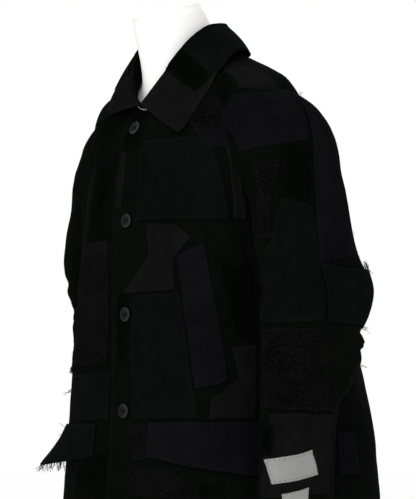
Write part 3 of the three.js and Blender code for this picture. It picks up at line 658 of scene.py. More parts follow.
def cloth_material(name, colour, lint, fade=1.6, roughness=0.95, sheen=0.004, sheen_colour="#8f9099",
                   weave=0.0, thread_mm=2.4, nap_mm=3.2, nap_depth=0.25, speckle=0.0, speckle_mm=4.0,
                   rib_mm=0.0):
    """Woven or felted cloth. The colour fades in soft clouds, and lint is the colour of specks, loops
    and worn edges. Sizes are millimetres. The real threads and fibres are finer than the picture
    shows, so they are drawn as coarse as it needs."""
    material, tree = new_material(name)
    uv = node(tree, "UVMap", uv_map="cloth").outputs["UV"]
    place = node(tree, "TexCoord").outputs["Object"]
    clouds = node(tree, "TexNoise", [("Vector", place)], Scale=CLOUD_SCALE, Detail=4.0, Roughness=0.6)
    stains = node(tree, "TexNoise", [("Vector", place)], Scale=STAIN_SCALE, Detail=3.0, Roughness=0.65)
    blended = node(tree, "Math", [(0, stains.outputs["Fac"]), (2, clouds.outputs["Fac"])],
                   [(1, STAIN_SHARE)], operation="MULTIPLY_ADD")
    faded = node(tree, "MapRange", [("Value", blended.outputs[0])], From_Min=0.72, From_Max=1.1)
    shade = node(tree, "Mix", [("Factor", faded.outputs["Result"])],
                 [(6, tone(colour)), (7, tone(colour, fade))], data_type="RGBA").outputs[2]
    fibres = node(tree, "TexNoise", [("Vector", place)], Scale=1000 / nap_mm, Detail=5.0, Roughness=0.7)
    height = fibres.outputs["Fac"]
    bits = node(tree, "TexNoise", [("Vector", place)], Scale=1000 / LINT_MM, Detail=2.0, Roughness=0.5)
    bit_share = node(tree, "MapRange", [("Value", bits.outputs["Fac"])], From_Min=0.66, From_Max=0.8,
                     To_Max=LINT_SHARE + speckle)
    shade = node(tree, "Mix", [("Factor", bit_share.outputs["Result"]), (6, shade)], [(7, tone(lint))],
                 data_type="RGBA").outputs[2]
    if speckle:
        lying = node(tree, "Mapping", [("Vector", place)], Scale=(1, 1, 1.9))
        curls = node(tree, "TexVoronoi", [("Vector", lying.outputs["Vector"])], Scale=1000 / speckle_mm,
                     Randomness=1.0)
        curl_share = node(tree, "MapRange", [("Value", curls.outputs["Distance"])], From_Min=0.55,
                          From_Max=0.1, To_Max=speckle)
        shade = node(tree, "Mix", [("Factor", curl_share.outputs["Result"]), (6, shade)],
                     [(7, tone(lint))], data_type="RGBA").outputs[2]
        height = node(tree, "Math", [(0, height), (1, curl_share.outputs["Result"])],
                      operation="ADD").outputs[0]
    if weave:
        scaled = node(tree, "Mapping", [("Vector", uv)], Scale=(1000 / thread_mm,) * 3)
        warp = node(tree, "TexWave", [("Vector", scaled.outputs["Vector"])], bands_direction="DIAGONAL",
                    Scale=0.5, Distortion=0.4, Detail=1.0)
        height = node(tree, "Math", [(0, warp.outputs["Fac"]), (2, height)], [(1, weave)],
                      operation="MULTIPLY_ADD").outputs[0]
    if rib_mm:
        scaled = node(tree, "Mapping", [("Vector", uv)], Scale=(1000 / rib_mm,) * 3)
        ribs = node(tree, "TexWave", [("Vector", scaled.outputs["Vector"])], bands_direction="X",
                    Scale=0.16, Distortion=0.6)
        height = node(tree, "Math", [(0, ribs.outputs["Fac"]), (2, height)], [(1, 1.0)],
                      operation="MULTIPLY_ADD").outputs[0]
    wear = node(tree, "Attribute", attribute_name="wear")
    ragged = node(tree, "Math", [(0, wear.outputs["Fac"]), (1, fibres.outputs["Fac"])],
                  operation="MULTIPLY")
    edge = node(tree, "Math", [(0, ragged.outputs[0])], [(1, EDGE_LIGHT)], operation="MULTIPLY")
    shade = node(tree, "Mix", [("Factor", edge.outputs[0]), (6, shade)], [(7, tone(lint))],
                 data_type="RGBA").outputs[2]
    bump = node(tree, "Bump", [("Height", height)], Strength=nap_depth, Distance=nap_mm * MM)
    shader = node(tree, "BsdfPrincipled", [("Base Color", shade), ("Normal", bump.outputs["Normal"])],
                  Roughness=roughness, Sheen_Weight=sheen, Sheen_Roughness=0.55,
                  Sheen_Tint=linear(sheen_colour), Specular_IOR_Level=0.006)
    node(tree, "OutputMaterial", [("Surface", shader.outputs["BSDF"])])
    return material


def plain_material(name, colour, roughness, mottle, mottle_scale, shine=0.5, bump_mm=0.0, edge_wear_and_highlight_colour=None):
    """Moulded, painted or turned material with a faint unevenness of tone and gloss."""
    material, tree = new_material(name)
    place = node(tree, "TexCoord").outputs["Object"]
    clouds = node(tree, "TexNoise", [("Vector", place)], Scale=mottle_scale, Detail=5.0)
    shade = node(tree, "Mix", [("Factor", clouds.outputs["Fac"])],
                 [(6, tone(colour, 1 - mottle)), (7, tone(colour))], data_type="RGBA").outputs[2]
    # A paler colour where the wear attribute is set: on the buttons' rim it is partly wear and partly a
    # painted highlight
    if edge_wear_and_highlight_colour:
        worn = node(tree, "Attribute", attribute_name="wear")
        shade = node(tree, "Mix", [("Factor", worn.outputs["Fac"]), (6, shade)],
                     [(7, tone(edge_wear_and_highlight_colour))], data_type="RGBA").outputs[2]
    gloss = node(tree, "MapRange", [("Value", clouds.outputs["Fac"])], To_Min=roughness * 0.85,
                 To_Max=min(1.0, roughness * 1.15))
    links = [("Base Color", shade), ("Roughness", gloss.outputs["Result"])]
    if bump_mm:
        grain = node(tree, "TexNoise", [("Vector", place)], Scale=1000 / bump_mm, Detail=3.0)
        bump = node(tree, "Bump", [("Height", grain.outputs["Fac"])], Strength=0.15, Distance=bump_mm * MM)
        links.append(("Normal", bump.outputs["Normal"]))
    shader = node(tree, "BsdfPrincipled", links, IOR=1.5, Specular_IOR_Level=shine)
    node(tree, "OutputMaterial", [("Surface", shader.outputs["BSDF"])])
    return material


LABEL_RIB_MM = 1.6


def label_material(name, colour):
    """Damask-woven label: a white satin ground with a faint rib across."""
    material, tree = new_material(name)
    uv = node(tree, "UVMap", uv_map="cloth").outputs["UV"]
    fine = node(tree, "Mapping", [("Vector", uv)], Scale=(1000 / LABEL_RIB_MM,) * 3)
    rib = node(tree, "TexWave", [("Vector", fine.outputs["Vector"])], bands_direction="Y", Scale=0.3)
    clouds = node(tree, "TexNoise", [("Vector", uv)], Scale=60.0, Detail=3.0)
    shade = node(tree, "Mix", [("Factor", clouds.outputs["Fac"])],
                 [(6, tone(colour, 0.86)), (7, tone(colour))], data_type="RGBA").outputs[2]
    bump = node(tree, "Bump", [("Height", rib.outputs["Fac"])], Strength=0.3, Distance=0.0004)
    shader = node(tree, "BsdfPrincipled", [("Base Color", shade), ("Normal", bump.outputs["Normal"])],
                  Roughness=0.6, Sheen_Weight=0.2)
    node(tree, "OutputMaterial", [("Surface", shader.outputs["BSDF"])])
    return material


MELTON, CHARCOAL, BROWN, VELVET, RIBBED, BLUISH, BOUCLE = (
    "melton", "charcoal", "brown_grey", "velvet", "ribbed_velvet", "bluish", "boucle")
VELVET_LOOK = {"roughness": 1.0, "sheen": 0.005, "sheen_colour": "#6f7274", "nap_depth": 0.5}
CLOTH_NAMES = {MELTON: "Wool melton, navy black", CHARCOAL: "Plain wool, charcoal",
               BROWN: "Washed wool, brown-grey", VELVET: "Cotton velvet, black",
               RIBBED: "Ribbed velvet, black", BLUISH: "Wool overcoating, blue-black",
               BOUCLE: "Boucle wool, speckled"}


def cloth_of(kind):
    """One of the coat's cloths, made the first time that it is asked for."""
    name = CLOTH_NAMES[kind]
    if name in bpy.data.materials:
        return bpy.data.materials[name]
    colours = bpy.context.scene.coat_colours
    lint = colours.lint
    if kind == MELTON:
        # Heavy felted wool: no weave shows, only a short nap and clouds where it has faded
        return cloth_material(name, colours.melton, lint)
    if kind == CHARCOAL:
        # Plain-woven suiting wool: dry, even, with a fine thread
        return cloth_material(name, colours.charcoal, lint, weave=0.9, thread_mm=2.8)
    if kind == BROWN:
        # Washed-out brown wool: paler and dustier than the rest
        return cloth_material(name, colours.brown_grey, lint, weave=0.7, thread_mm=3.2, nap_depth=0.35)
    if kind == VELVET:
        # Cotton velvet: deep pile that takes the light only at a glancing angle
        return cloth_material(name, colours.velvet, lint, nap_mm=5.0, **VELVET_LOOK)
    if kind == RIBBED:
        # The same pile cut into cords 8 mm apart
        return cloth_material(name, colours.velvet, lint, rib_mm=8.0, **VELVET_LOOK)
    if kind == BLUISH:
        # Blue-black overcoating: smoother, a little cooler
        return cloth_material(name, colours.bluish, lint)
    # Boucle wool: loops of a pale yarn over a dark ground
    return cloth_material(name, colours.boucle, lint, roughness=1.0, sheen=0.007, fade=2.2, speckle=0.32,
                          speckle_mm=7.0, nap_mm=6.0, nap_depth=1.0)


def finish_of(name, make):
    """A material other than cloth, made the first time that it is asked for."""
    return bpy.data.materials.get(name) or make(name)


def thread_material():
    # Wool yarn and sewing thread: too thin to show a twist, so only its tone varies
    return finish_of("Wool thread, dark grey", lambda name: plain_material(
        name, bpy.context.scene.coat_colours.thread, 0.95, shine=0.02, mottle=0.5, mottle_scale=120.0))


def thread_pieces(name, runs, radius_mm, material, nodes=()):
    """Threads through lists of points in millimetres, as one joined mesh of thin tubes."""
    curve = bpy.data.curves.new(name + "_line", "CURVE")
    curve.dimensions = "3D"
    curve.bevel_depth = radius_mm * MM
    curve.bevel_resolution = 0
    curve.use_fill_caps = True
    for run in runs:
        spline = curve.splines.new("POLY")
        spline.points.add(len(run) - 1)
        for point, here in zip(spline.points, run):
            point.co = (*(here * MM), 1.0)
    line = bpy.data.objects.new(name + "_line", curve)
    bpy.context.collection.objects.link(line)
    bpy.context.view_layer.update()
    shape = bpy.data.meshes.new_from_object(line.evaluated_get(bpy.context.evaluated_depsgraph_get()))
    bpy.data.objects.remove(line)
    bm = bmesh.new()
    bm.from_mesh(shape)
    bpy.data.meshes.remove(shape)
    return finish_mesh(name, bm, material, nodes)


def running_stitches(surface, corners, lift, length=5.0, gap=4.2, seed=1):
    """Running stitches along a path of (u, v) places on a surface."""
    rng = random.Random(seed)
    runs = []
    for (u0, v0), (u1, v1) in zip(corners[:-1], corners[1:]):
        long = cloth_length(surface, (u0, u1), (v0, v1), 12)
        count = int(long / (length + gap))
        if count < 1:
            continue
        shares = []
        for k in range(count):
            start = (k + 0.15 * rng.random()) / count
            end = start + length * rng.uniform(0.8, 1.15) / long
            shares.append((start, (start + end) / 2, end))
        shares = np.clip(np.array(shares), 0, 1)
        lifts = np.tile([-0.5, 0.55, -0.5], count) + lift
        points = surface.place(mix(u0, u1, shares.ravel()), mix(v0, v1, shares.ravel()), lifts)
        runs += list(points.reshape(count, 3, 3))
    return runs


def loose_threads(root, normal, count, length, lean, seed, spread=4.0, curl=0.5):
    """A tuft of loose threads that leave a point in millimetres and curl over."""
    rng = random.Random(seed)
    runs = []
    for _ in range(count):
        here = np.array(root, float) + np.array([rng.gauss(0, spread) for _ in range(3)]) * 0.5
        way = np.array(normal, float) * rng.uniform(0.5, 1) + np.array(lean, float) * rng.uniform(0.3, 1.2)
        way += np.array([rng.gauss(0, 0.35) for _ in range(3)])
        way /= np.linalg.norm(way)
        bend = np.array([rng.gauss(0, curl), rng.gauss(0, curl), rng.gauss(-0.3, curl)])
        reach = length * rng.uniform(0.5, 1.3)
        steps = np.linspace(0, 1, 7)[:, None]
        runs.append(here + (way * steps + bend * steps**2 * 0.5) * reach)
    return runs


# The coat's pieces

def seam_angle(level):
    """How far a panel stops short of the line of a side seam, as an angle. Below nought they lap."""
    return np.degrees(-SEAM / 2 / section(BODY, 1, level))


def left_edges(level):
    return angle_at_width(level, -WRAP), SIDE_SEAM - seam_angle(level)


def right_edges(level):
    return seam_angle(level) - SIDE_SEAM, angle_at_width(level, WRAP)


def back_edges(level):
    return SIDE_SEAM + seam_angle(level), 360 - SIDE_SEAM - seam_angle(level)


def whole_edges(level):
    return np.full_like(level, -180.0), np.full_like(level, 180.0)


class Inside:
    """Tells how deep a point in metres lies inside a surface."""

    def __init__(self, surface, columns, rows, outside):
        bm = bmesh.new()
        bmesh.ops.create_grid(bm, x_segments=columns, y_segments=rows, size=0.5)
        places = np.clip(np.array([v.co[:2] for v in bm.verts]) + 0.5, 0, 1)
        for vert, point in zip(bm.verts, surface.place(places[:, 0], places[:, 1], np.zeros(len(places)))):
            vert.co = point * MM
        bm.normal_update()
        self.tree = BVHTree.FromBMesh(bm)
        bm.free()
        self.sign = 1.0
        if self.depth(Vector(outside)) > 0:
            self.sign = -1.0

    def depth(self, point):
        spot, normal, _, far = self.tree.find_nearest(point)
        return far if (point - spot).dot(normal) * self.sign < 0 else -far


BODY_PANELS = (
    ("front_left_cloth", "front_left", left_edges, flat, 84),
    ("front_right_cloth", "front_right", right_edges, underlap, 84),
    ("back_cloth", "back", back_edges, flat, 150),
)
PANEL_ROWS = 190
SHOULDER_WIDTH = 0.130          # the armholes lie outside this distance from the middle
ARMHOLE_FOOT = 1.0              # and above this height
TUCK_IN = 0.007                 # how far the cloth of one piece may run inside another at an armhole


def build_body():
    sizes = bpy.context.scene.coat_sizes
    arms = [Inside(Tube(form), 72, 90, (side * 0.6, 0.0, 1.0))
            for form, side in ((sleeve_left, 1), (sleeve_right, -1))]

    def outside_arms(point):
        if abs(point.x) < SHOULDER_WIDTH or point.z < ARMHOLE_FOOT:
            return True
        return max(arm.depth(point) for arm in arms) < TUCK_IN

    for name, solid, edges, sink, columns in BODY_PANELS:
        cloth_piece(name, Panel(edges, sink), columns, PANEL_ROWS, cloth_of(MELTON), [solid],
                    thick=sizes.cloth / MM, keep=outside_arms)


def build_sleeves():
    sizes = bpy.context.scene.coat_sizes
    coat = Inside(Panel(whole_edges), 144, 120, (0.0, -1.0, 1.0))
    for name, solid, form in (("sleeve_left_cloth", "sleeve_left", sleeve_left),
                              ("sleeve_right_cloth", "sleeve_right", sleeve_right)):
        cloth_piece(name, Tube(form), 96, 150, cloth_of(MELTON), [solid],
                    thick=sizes.cloth / MM, tube=True, keep=lambda point: coat.depth(point) < TUCK_IN)


# Patches of the collar: name, cloth, lift, rows of (u, v) to (u, v)
COLLAR_PATCHES = (
    ("collar_patch_velvet", VELVET, 1.4, ((0.770, 0.42, 0.858, 0.42), (0.798, 0.96, 0.868, 0.92))),
    ("collar_patch_upper", CHARCOAL, 1.3, ((0.56, 0.42, 0.765, 0.42), (0.56, 0.985, 0.792, 0.985))),
    ("collar_patch_right", CHARCOAL, 1.3, ((0.16, 0.48, 0.34, 0.46), (0.16, 0.985, 0.34, 0.985))),
)


def build_collar():
    sizes = bpy.context.scene.coat_sizes
    surface = Collar()
    cloth_piece("collar_cloth", surface, 210, 50, cloth_of(BROWN), ["collar"],
                thick=sizes.cloth / MM)
    for name, kind, lift, rows in COLLAR_PATCHES:
        cloth_piece(name, CollarPatch(surface, rows), 50, 24, cloth_of(kind), lift=lift,
                    thick=sizes.patch / MM * 0.8)


LEFT, RIGHT, ARM = "front_left_cloth", "front_right_cloth", "sleeve_left_cloth"
# Patches: name, solid it stands for, what it lies on, cloth, lift, rows from the bottom up of
# (angle, height) to (angle, height)
PATCHES = (
    ("patch_chest_cloth", "patch_chest", LEFT, CHARCOAL, 2.1,
     ((8, 1177, 58, 1173), (8, 1222, 57, 1220), (8, 1268, 55, 1265), (9, 1312, 51, 1308))),
    ("patch_waist_cloth", "patch_waist", LEFT, BROWN, 2.1,
     ((-3, 1062, 31, 1060), (3, 1077, 31, 1079), (17, 1120, 31, 1110), (16, 1148, 40, 1145),
      (15, 1171, 33, 1168))),
    ("patch_side_cloth", "patch_side", LEFT, VELVET, 2.1,
     ((54, 986, 61, 978), (53, 1030, 62, 1030), (51, 1062, 63, 1052), (50, 1104, 64, 1100))),
    ("patch_hip_cloth", "patch_hip", LEFT, BROWN, 2.1,
     ((44, 857, 60, 857), (45, 889, 61, 890), (55, 920, 61, 920), (53, 968, 62, 972))),
    ("patch_right_velvet_cloth", "patch_right_velvet", RIGHT, VELVET, 2.1,
     ((-37, 1154, -15, 1151), (-35, 1215, -17, 1213), (-33, 1284, -23, 1282))),
    ("patch_right_boucle_cloth", "patch_right_boucle", RIGHT, BOUCLE, 2.1,
     ((-52, 946, -14, 945), (-51, 1010, -14, 1010), (-47, 1070, -15, 1070), (-42, 1128, -17, 1126))),
    ("strip_sleeve_cloth", "strip_sleeve", ARM, BOUCLE, 2.1,
     ((-90, 1136, -80, 1134), (-89, 1180, -76, 1178), (-88, 1215, -71, 1213), (-86, 1262, -58, 1262))),
    ("patch_sleeve_velvet_cloth", "patch_sleeve_velvet", ARM, VELVET, 2.1,
     ((-66, 1204, -26, 1192), (-59, 1240, -16, 1240), (-48, 1290, -6, 1296))),
    ("patch_sleeve_boucle_cloth", "patch_sleeve_boucle", ARM, BOUCLE, 2.1,
     ((-92, 870, 40, 868), (-94, 932, 14, 932), (-94, 996, -8, 995))),
    ("patch_button_1", None, LEFT, RIBBED, 1.2, ((-11, 1302, 7, 1302), (-11, 1365, 7, 1365))),
    ("patch_placket_light", None, LEFT, BROWN, 0.8, ((-11, 1202, -6, 1202), (-11, 1296, -6, 1296))),
    ("patch_placket_velvet", None, LEFT, VELVET, 1.0, ((-7, 945, 1, 945), (-8, 1064, 1, 1066))),
    ("patch_lower_panel", None, LEFT, CHARCOAL, 1.3,
     ((5, 858, 40, 856), (4, 960, 36, 960), (5, 1056, 33, 1058))),
    ("patch_chest_strip", None, LEFT, BROWN, 1.2,
     ((60, 1174, 65, 1174), (60, 1235, 65, 1235), (60, 1290, 65, 1290))),
    ("patch_yoke", None, LEFT, BLUISH, 1.3,
     ((50, 1290, 66, 1288), (45, 1325, 67, 1325), (45, 1352, 67, 1356), (62, 1378, 70, 1380))),
    ("patch_under_collar", None, LEFT, BOUCLE, 2.2,
     ((43, 1325, 58, 1323), (43, 1350, 59, 1352), (45, 1371, 59, 1371))),
    ("patch_diamond", None, LEFT, VELVET, 1.6,
     ((60, 1355, 62, 1357), (57, 1382, 68, 1388), (68, 1417, 70, 1419))),
    ("patch_low_velvet", None, LEFT, VELVET, 1.3, ((39, 733, 49, 731), (39, 759, 49, 757))),
    ("patch_flap_strip", None, LEFT, BOUCLE, 1.3, ((5, 790, 15, 790), (5, 847, 15, 847))),
    ("patch_below_flap", None, LEFT, BOUCLE, 1.3, ((4, 734, 41, 730), (4, 782, 30, 776))),
    ("patch_shoulder", None, LEFT, BROWN, 1.1,
     ((70, 1388, 92, 1388), (73, 1418, 92, 1414), (75, 1441, 92, 1443))),
    ("patch_right_yoke", None, RIGHT, VELVET, 1.3,
     ((-58, 1284, -28, 1281), (-56, 1330, -24, 1330), (-50, 1366, -21, 1372))),
    ("patch_right_strip", None, RIGHT, BLUISH, 1.3, ((-37, 1128, -17, 1127), (-36, 1152, -17, 1151))),
    ("patch_right_low", None, RIGHT, CHARCOAL, 1.3,
     ((-41, 855, -12, 855), (-41, 893, -12, 893), (-41, 930, -12, 933))),
    ("patch_right_ribbed", None, RIGHT, RIBBED, 1.3,
     ((-36, 722, -10, 722), (-34, 760, -10, 760), (-20, 805, -10, 805))),
    ("patch_back_strip", None, "back_cloth", BLUISH, 1.3, ((98, 767, 108, 767), (98, 835, 108, 835))),
    ("patch_sleeve_head", None, ARM, BLUISH, 1.2,
     ((-95, 1278, -12, 1298), (-92, 1335, -2, 1340), (-60, 1376, -7, 1376))),
    ("patch_sleeve_rear", None, ARM, BLUISH, 1.2,
     ((-24, 1101, 65, 1112), (-18, 1160, 62, 1160), (-14, 1232, 40, 1235), (2, 1317, 25, 1320),
      (8, 1365, 21, 1370))),
    ("patch_sleeve_grey", None, ARM, CHARCOAL, 1.2,
     ((-96, 1002, -27, 1010), (-90, 1096, -25, 1096), (-78, 1135, -24, 1135), (-66, 1200, -26, 1189))),
    ("patch_sleeve_low", None, ARM, BROWN, 1.2,
     ((-94, 736, 50, 742), (-90, 800, 50, 800), (-84, 864, 48, 863))),
    # A velvet patch along the sleeve's front edge, whose dark tone partly stands for painted shade there
    ("patch_sleeve_dark", None, ARM, VELVET, 2.4, ((-97, 801, -77, 801), (-97, 847, -77, 847))),
)
FORMS = {LEFT: body, RIGHT: body, "back_cloth": body, ARM: sleeve_left}
GRID_STEP = 4.0
LOOP_STEP = 2.6                 # finer grid of the boucle pieces, whose loops stand up
PATCH_INSET = 4.5               # how far in from the edge the stitches run
POCKET_INSET = 5.0
STITCH_RADIUS = 0.32
FRAY_RADIUS = 0.26
YARN_RADIUS = 0.34


def patch_surface(name, rows, ground, rise=None, wobble=1.3):
    sink = underlap if ground == RIGHT else flat
    return Rows(FORMS[ground], rows, sink, rise, wobble, seed=len(name) * 7 + rows[0][1])


def edge_path(columns, lines, inset, first=0):
    """Places of a line of stitches round a piece, from one of its corners on."""
    across, up = inset / (columns * GRID_STEP), inset / (lines * GRID_STEP)
    corners = [(across, up), (1 - across, up), (1 - across, 1 - up), (across, 1 - up)]
    corners = corners[first:] + corners[:first]
    return corners + corners[:1]


def grid_of(surface, step=GRID_STEP):
    """Columns and rows that make a piece's grid about a step apart, in millimetres."""
    wide = max(cloth_length(surface, (0, 1), (v, v), 20) for v in (0.0, 0.5, 1.0))
    tall = cloth_length(surface, (0.5, 0.5), (0, 1), 20)
    return int(max(4, wide / step)), int(max(4, tall / step))


def build_patches():
    sizes = bpy.context.scene.coat_sizes
    stitches, frays = [], []
    for name, solid, ground, kind, lift, rows in PATCHES:
        surface = patch_surface(name, rows, ground)
        looped = kind == BOUCLE
        columns, lines = grid_of(surface, LOOP_STEP if looped else GRID_STEP)
        cloth_piece(name, surface, columns, lines, cloth_of(kind), [solid] if solid else (),
                    lift=lift, thick=min(lift, sizes.patch / MM), nap=sizes.nap / MM if looped else 0.0)
        path = edge_path(columns, lines, PATCH_INSET)
        stitches += running_stitches(surface, path, lift, seed=len(name))
        frays += frayed_edges(surface, lift, seed=len(name) + 40)
    thread_pieces("patch_stitches", stitches, STITCH_RADIUS, thread_material())
    thread_pieces("patch_frays", frays, FRAY_RADIUS, thread_material())


def frayed_edges(surface, lift, seed, spacing=7.0, length=4.5):
    """Short fibres that stand out from the four cut edges of a patch."""
    rng = random.Random(seed)
    wide = cloth_length(surface, (0, 1), (0.5, 0.5), 12)
    tall = cloth_length(surface, (0.5, 0.5), (0, 1), 12)
    shares = np.linspace(0, 1, 4)
    places = []
    for axis, end in ((0, 0), (0, 1), (1, 0), (1, 1)):
        long, across = (tall, wide) if axis == 0 else (wide, tall)
        for _ in range(int(long / spacing)):
            along = rng.uniform(0.02, 0.98)
            out = length * rng.uniform(0.3, 1.2) / across * (1 if end else -1)
            drift = rng.gauss(0, 3.0) / long
            moving, still = end + out * shares, along + drift * shares**2
            u, v = (moving, still) if axis == 0 else (still, moving)
            places.append((u, v, lift - 0.5 + rng.uniform(-0.3, 1.8) * shares))
    u, v, heights = np.array(places).transpose(1, 0, 2)
    return list(surface.place(u.ravel(), v.ravel(), heights.ravel()).reshape(-1, 4, 3))


def elbow_rise(_u, v):
    """The elbow patch stands off the sleeve towards its upper edge."""
    return 3.5 * v * v


def flap_left_rise(_u, v):
    """The flap droops away from the coat towards its lower edge."""
    return FLAP_DROOP * (1 - v)


def flare(angle):
    """How far the right flap stands off the coat at an angle, in mm."""
    return FLAP_FLARE * np.clip((FLAP_FRONT - angle) / (FLAP_FRONT - FLAP_BACK), 0, None) ** 2


def flap_right_rise(u, v):
    return flare(mix(FLAP_BACK, FLAP_FRONT, u)) * (1 - v)


# Pieces that stand out from their ground: name, solid, ground, cloth, thickness, rise, rows
RAISED = (
    ("patch_elbow_cloth", "patch_elbow", ARM, CHARCOAL, 1.8, elbow_rise,
     ((-12, 1006, 104, 1004), (-22, 1036, 106, 1032), (-28, 1066, 106, 1062), (-30, 1098, 104, 1092))),
    ("welt_left_cloth", "welt_left", LEFT, BLUISH, 3.2, None,
     ((39, 902, 51, 914), (37, 973, 49.3, 988), (35, 1045, 47.6, 1062), (33, 1116, 46, 1136))),
    ("flap_left_cloth", "flap_left", LEFT, BLUISH, 3.2, flap_left_rise,
     ((17, 796, 62, 765), (16.5, 823, 62, 808), (16, 851, 62, 851))),
    ("flap_right_cloth", "flap_right", RIGHT, CHARCOAL, 3.2, flap_right_rise,
     ((-62, 771, -20, 794), (-62, 796, -20, 812), (-62, 821, -20, 831), (-62, 847, -20, 849))),
)


def build_pockets():
    stitches = []
    for name, solid, ground, kind, thick, rise, rows in RAISED:
        surface = patch_surface(name, rows, ground, rise, wobble=0.8)
        columns, lines = grid_of(surface)
        lift = SEAM + thick
        cloth_piece(name, surface, columns, lines, cloth_of(kind), [solid], lift=lift,
                    thick=thick - 0.4)
        path = edge_path(columns, lines, POCKET_INSET, first=3)
        stitches += running_stitches(surface, path, lift, seed=len(name))
    thread_pieces("pocket_stitches", stitches, STITCH_RADIUS, thread_material())


LABELS = (
    ("label_upper_cloth", "label_upper", ((-77, 757, 8, 771), (-83, 776, 0, 790), (-88, 794, -8, 809))),
    ("label_lower_cloth", "label_lower", ((-64, 726, -19, 731), (-65, 742, -18, 752))),
)


def build_labels():
    colour = bpy.context.scene.coat_colours.label
    stitches = []
    for name, solid, rows in LABELS:
        surface = Rows(sleeve_left, rows, wobble=0.3, seed=4)
        # Damask-woven polyester satin: white, with a fine rib across
        material = finish_of("Woven satin label, white", lambda key: label_material(key, colour))
        cloth_piece(name, surface, 36, 16, material, [solid], lift=2.2, thick=0.8)
        corners = [(0.03, 0.08), (0.97, 0.08), (0.97, 0.92), (0.03, 0.92), (0.03, 0.08)]
        stitches += running_stitches(surface, corners, 2.2, length=3.2, gap=2.6, seed=9)
    thread_pieces("label_stitches", stitches, 0.28, thread_material())


# Frayed edges that stand off the coat: name, solid, ground, from (angle, height) to (angle, height),
# direction up or down, how many threads, their length, and what the edge stands out by
FRINGES = (
    ("elbow_fringe", "fringe_elbow", ARM, (2, 1098), (98, 1093), 1, 120, 12, lambda angle: 3.5 + 0 * angle),
    ("right_fringe", "fringe_right", RIGHT, (-56, 948), (-40, 948), -1, 70, 13, lambda angle: 0 * angle),
    ("flap_fringe", "fringe_flap", RIGHT, (-61.5, 771.5), (-28, 789), -1, 80, 12, flare),
)
# Single tufts: form, angle, height, number of threads, length, and how they lean (x, y, z)
TUFTS = (
    (body, -44, 1274, 9, 12, (-0.3, -0.3, 0.2)), (body, -47, 1067, 5, 10, (-0.3, -0.2, -0.4)),
    (body, -50, 1160, 3, 8, (-0.3, -0.2, 0.2)), (body, -52, 905, 6, 13, (-0.3, -0.2, -0.5)),
    (body, -57, 836, 7, 18, (-0.6, -0.2, -0.4)), (body, 60, 1100, 4, 12, (0.3, -0.4, -0.6)),
    (body, 64, 1372, 6, 10, (0.2, -0.3, 0.5)), (body, 50, 1372, 5, 9, (0.2, -0.4, -0.3)),
    (body, 88, 1432, 6, 9, (0.0, 0.0, 0.8)), (body, 96, 1440, 5, 8, (0.0, 0.0, 0.8)),
    (sleeve_left, 10, 1376, 5, 6, (0.2, 0.2, 0.8)), (sleeve_left, -30, 1385, 4, 6, (0.0, 0.0, 0.9)),
    (sleeve_left, 84, 1094, 9, 9, (0.3, 0.5, -0.2)), (sleeve_left, 88, 1070, 5, 8, (0.3, 0.5, -0.6)),
    (sleeve_left, 80, 1004, 6, 13, (0.3, 0.6, -0.7)), (sleeve_left, 74, 946, 4, 7, (0.3, 0.5, -0.5)),
    (sleeve_left, 40, 870, 5, 9, (0.5, 0.3, -0.5)), (sleeve_left, -26, 1010, 5, 9, (0.6, -0.5, -0.5)),
)


def build_threads():
    rng = random.Random(17)
    for name, solid, ground, start, end, way, count, length, rise in FRINGES:
        form = FORMS[ground]
        steps = np.linspace(0, 1, 5)
        places = []
        for _ in range(count):
            share = rng.random()
            angle, z = mix(start[0], end[0], share), mix(start[1], end[1], share)
            reach = length * rng.uniform(0.35, 1.25)
            places.append((angle + rng.gauss(0, 2.6) * steps**2, z + way * reach * steps,
                           1.4 + rise(np.full(5, angle)) + steps * rng.uniform(-0.5, 4.5)))
        angles, heights, lift = (part.ravel() for part in np.array(places).transpose(1, 0, 2))
        level = form.level_at(angles, heights)
        if ground == RIGHT:
            lift = lift - underlap(level, angles)
        runs = list(form.skin(level, angles, lift).reshape(count, 5, 3))
        thread_pieces(name, runs, YARN_RADIUS, thread_material(), [solid])
    runs = []
    for index, (form, angle, z, count, length, lean) in enumerate(TUFTS):
        level = form.level_at(np.array([float(angle)]), np.array([float(z)]))
        low, high = (form.skin(level, np.array([float(angle)]), np.array([up]))[0] for up in (1.0, 2.0))
        runs += loose_threads(low, high - low, count, length, lean, seed=index + 60)
    thread_pieces("loose_tufts", runs, YARN_RADIUS, thread_material())


# Button profile from the middle of the back round the rim to the middle of the dish: radius, height
BUTTON_PROFILE = ((0, 0), (9.4, 0), (11.0, 0.9), (11.5, 2.0), (11.2, 3.0), (10.4, 3.6), (9.3, 3.5),
                  (8.5, 2.9), (6.5, 2.55), (0, 2.5))
# Radius from which the rim's top is painted paler, partly as a painted highlight
BUTTON_RIM = 10.2
HOLE_RADIUS = 1.1
HOLE_OFFSET = 2.5
SHANK_RADIUS = 2.0


def spun(profile, steps, paler_rim_radius=None, paler_rim_height=0.0):
    """A turned shape about Z from a profile in millimetres, closed and with its faces outward."""
    bm = bmesh.new()
    wear = bm.verts.layers.float.new("wear")
    line = [bm.verts.new((r * MM, 0, z * MM)) for r, z in profile]
    for vert, (r, z) in zip(line, profile):
        # Marks the top of the rim for the paler colour: partly wear and partly a painted highlight
        vert[wear] = 1.0 if paler_rim_radius and r >= paler_rim_radius and z >= paler_rim_height else 0.0
    edges = [bm.edges.new(pair) for pair in zip(line[:-1], line[1:])]
    bmesh.ops.spin(bm, geom=line + edges, cent=(0, 0, 0), axis=(0, 0, 1), angle=2 * math.pi, steps=steps,
                   use_merge=True)
    bmesh.ops.remove_doubles(bm, verts=bm.verts, dist=0.00001)
    bmesh.ops.recalc_face_normals(bm, faces=bm.faces)
    return bm


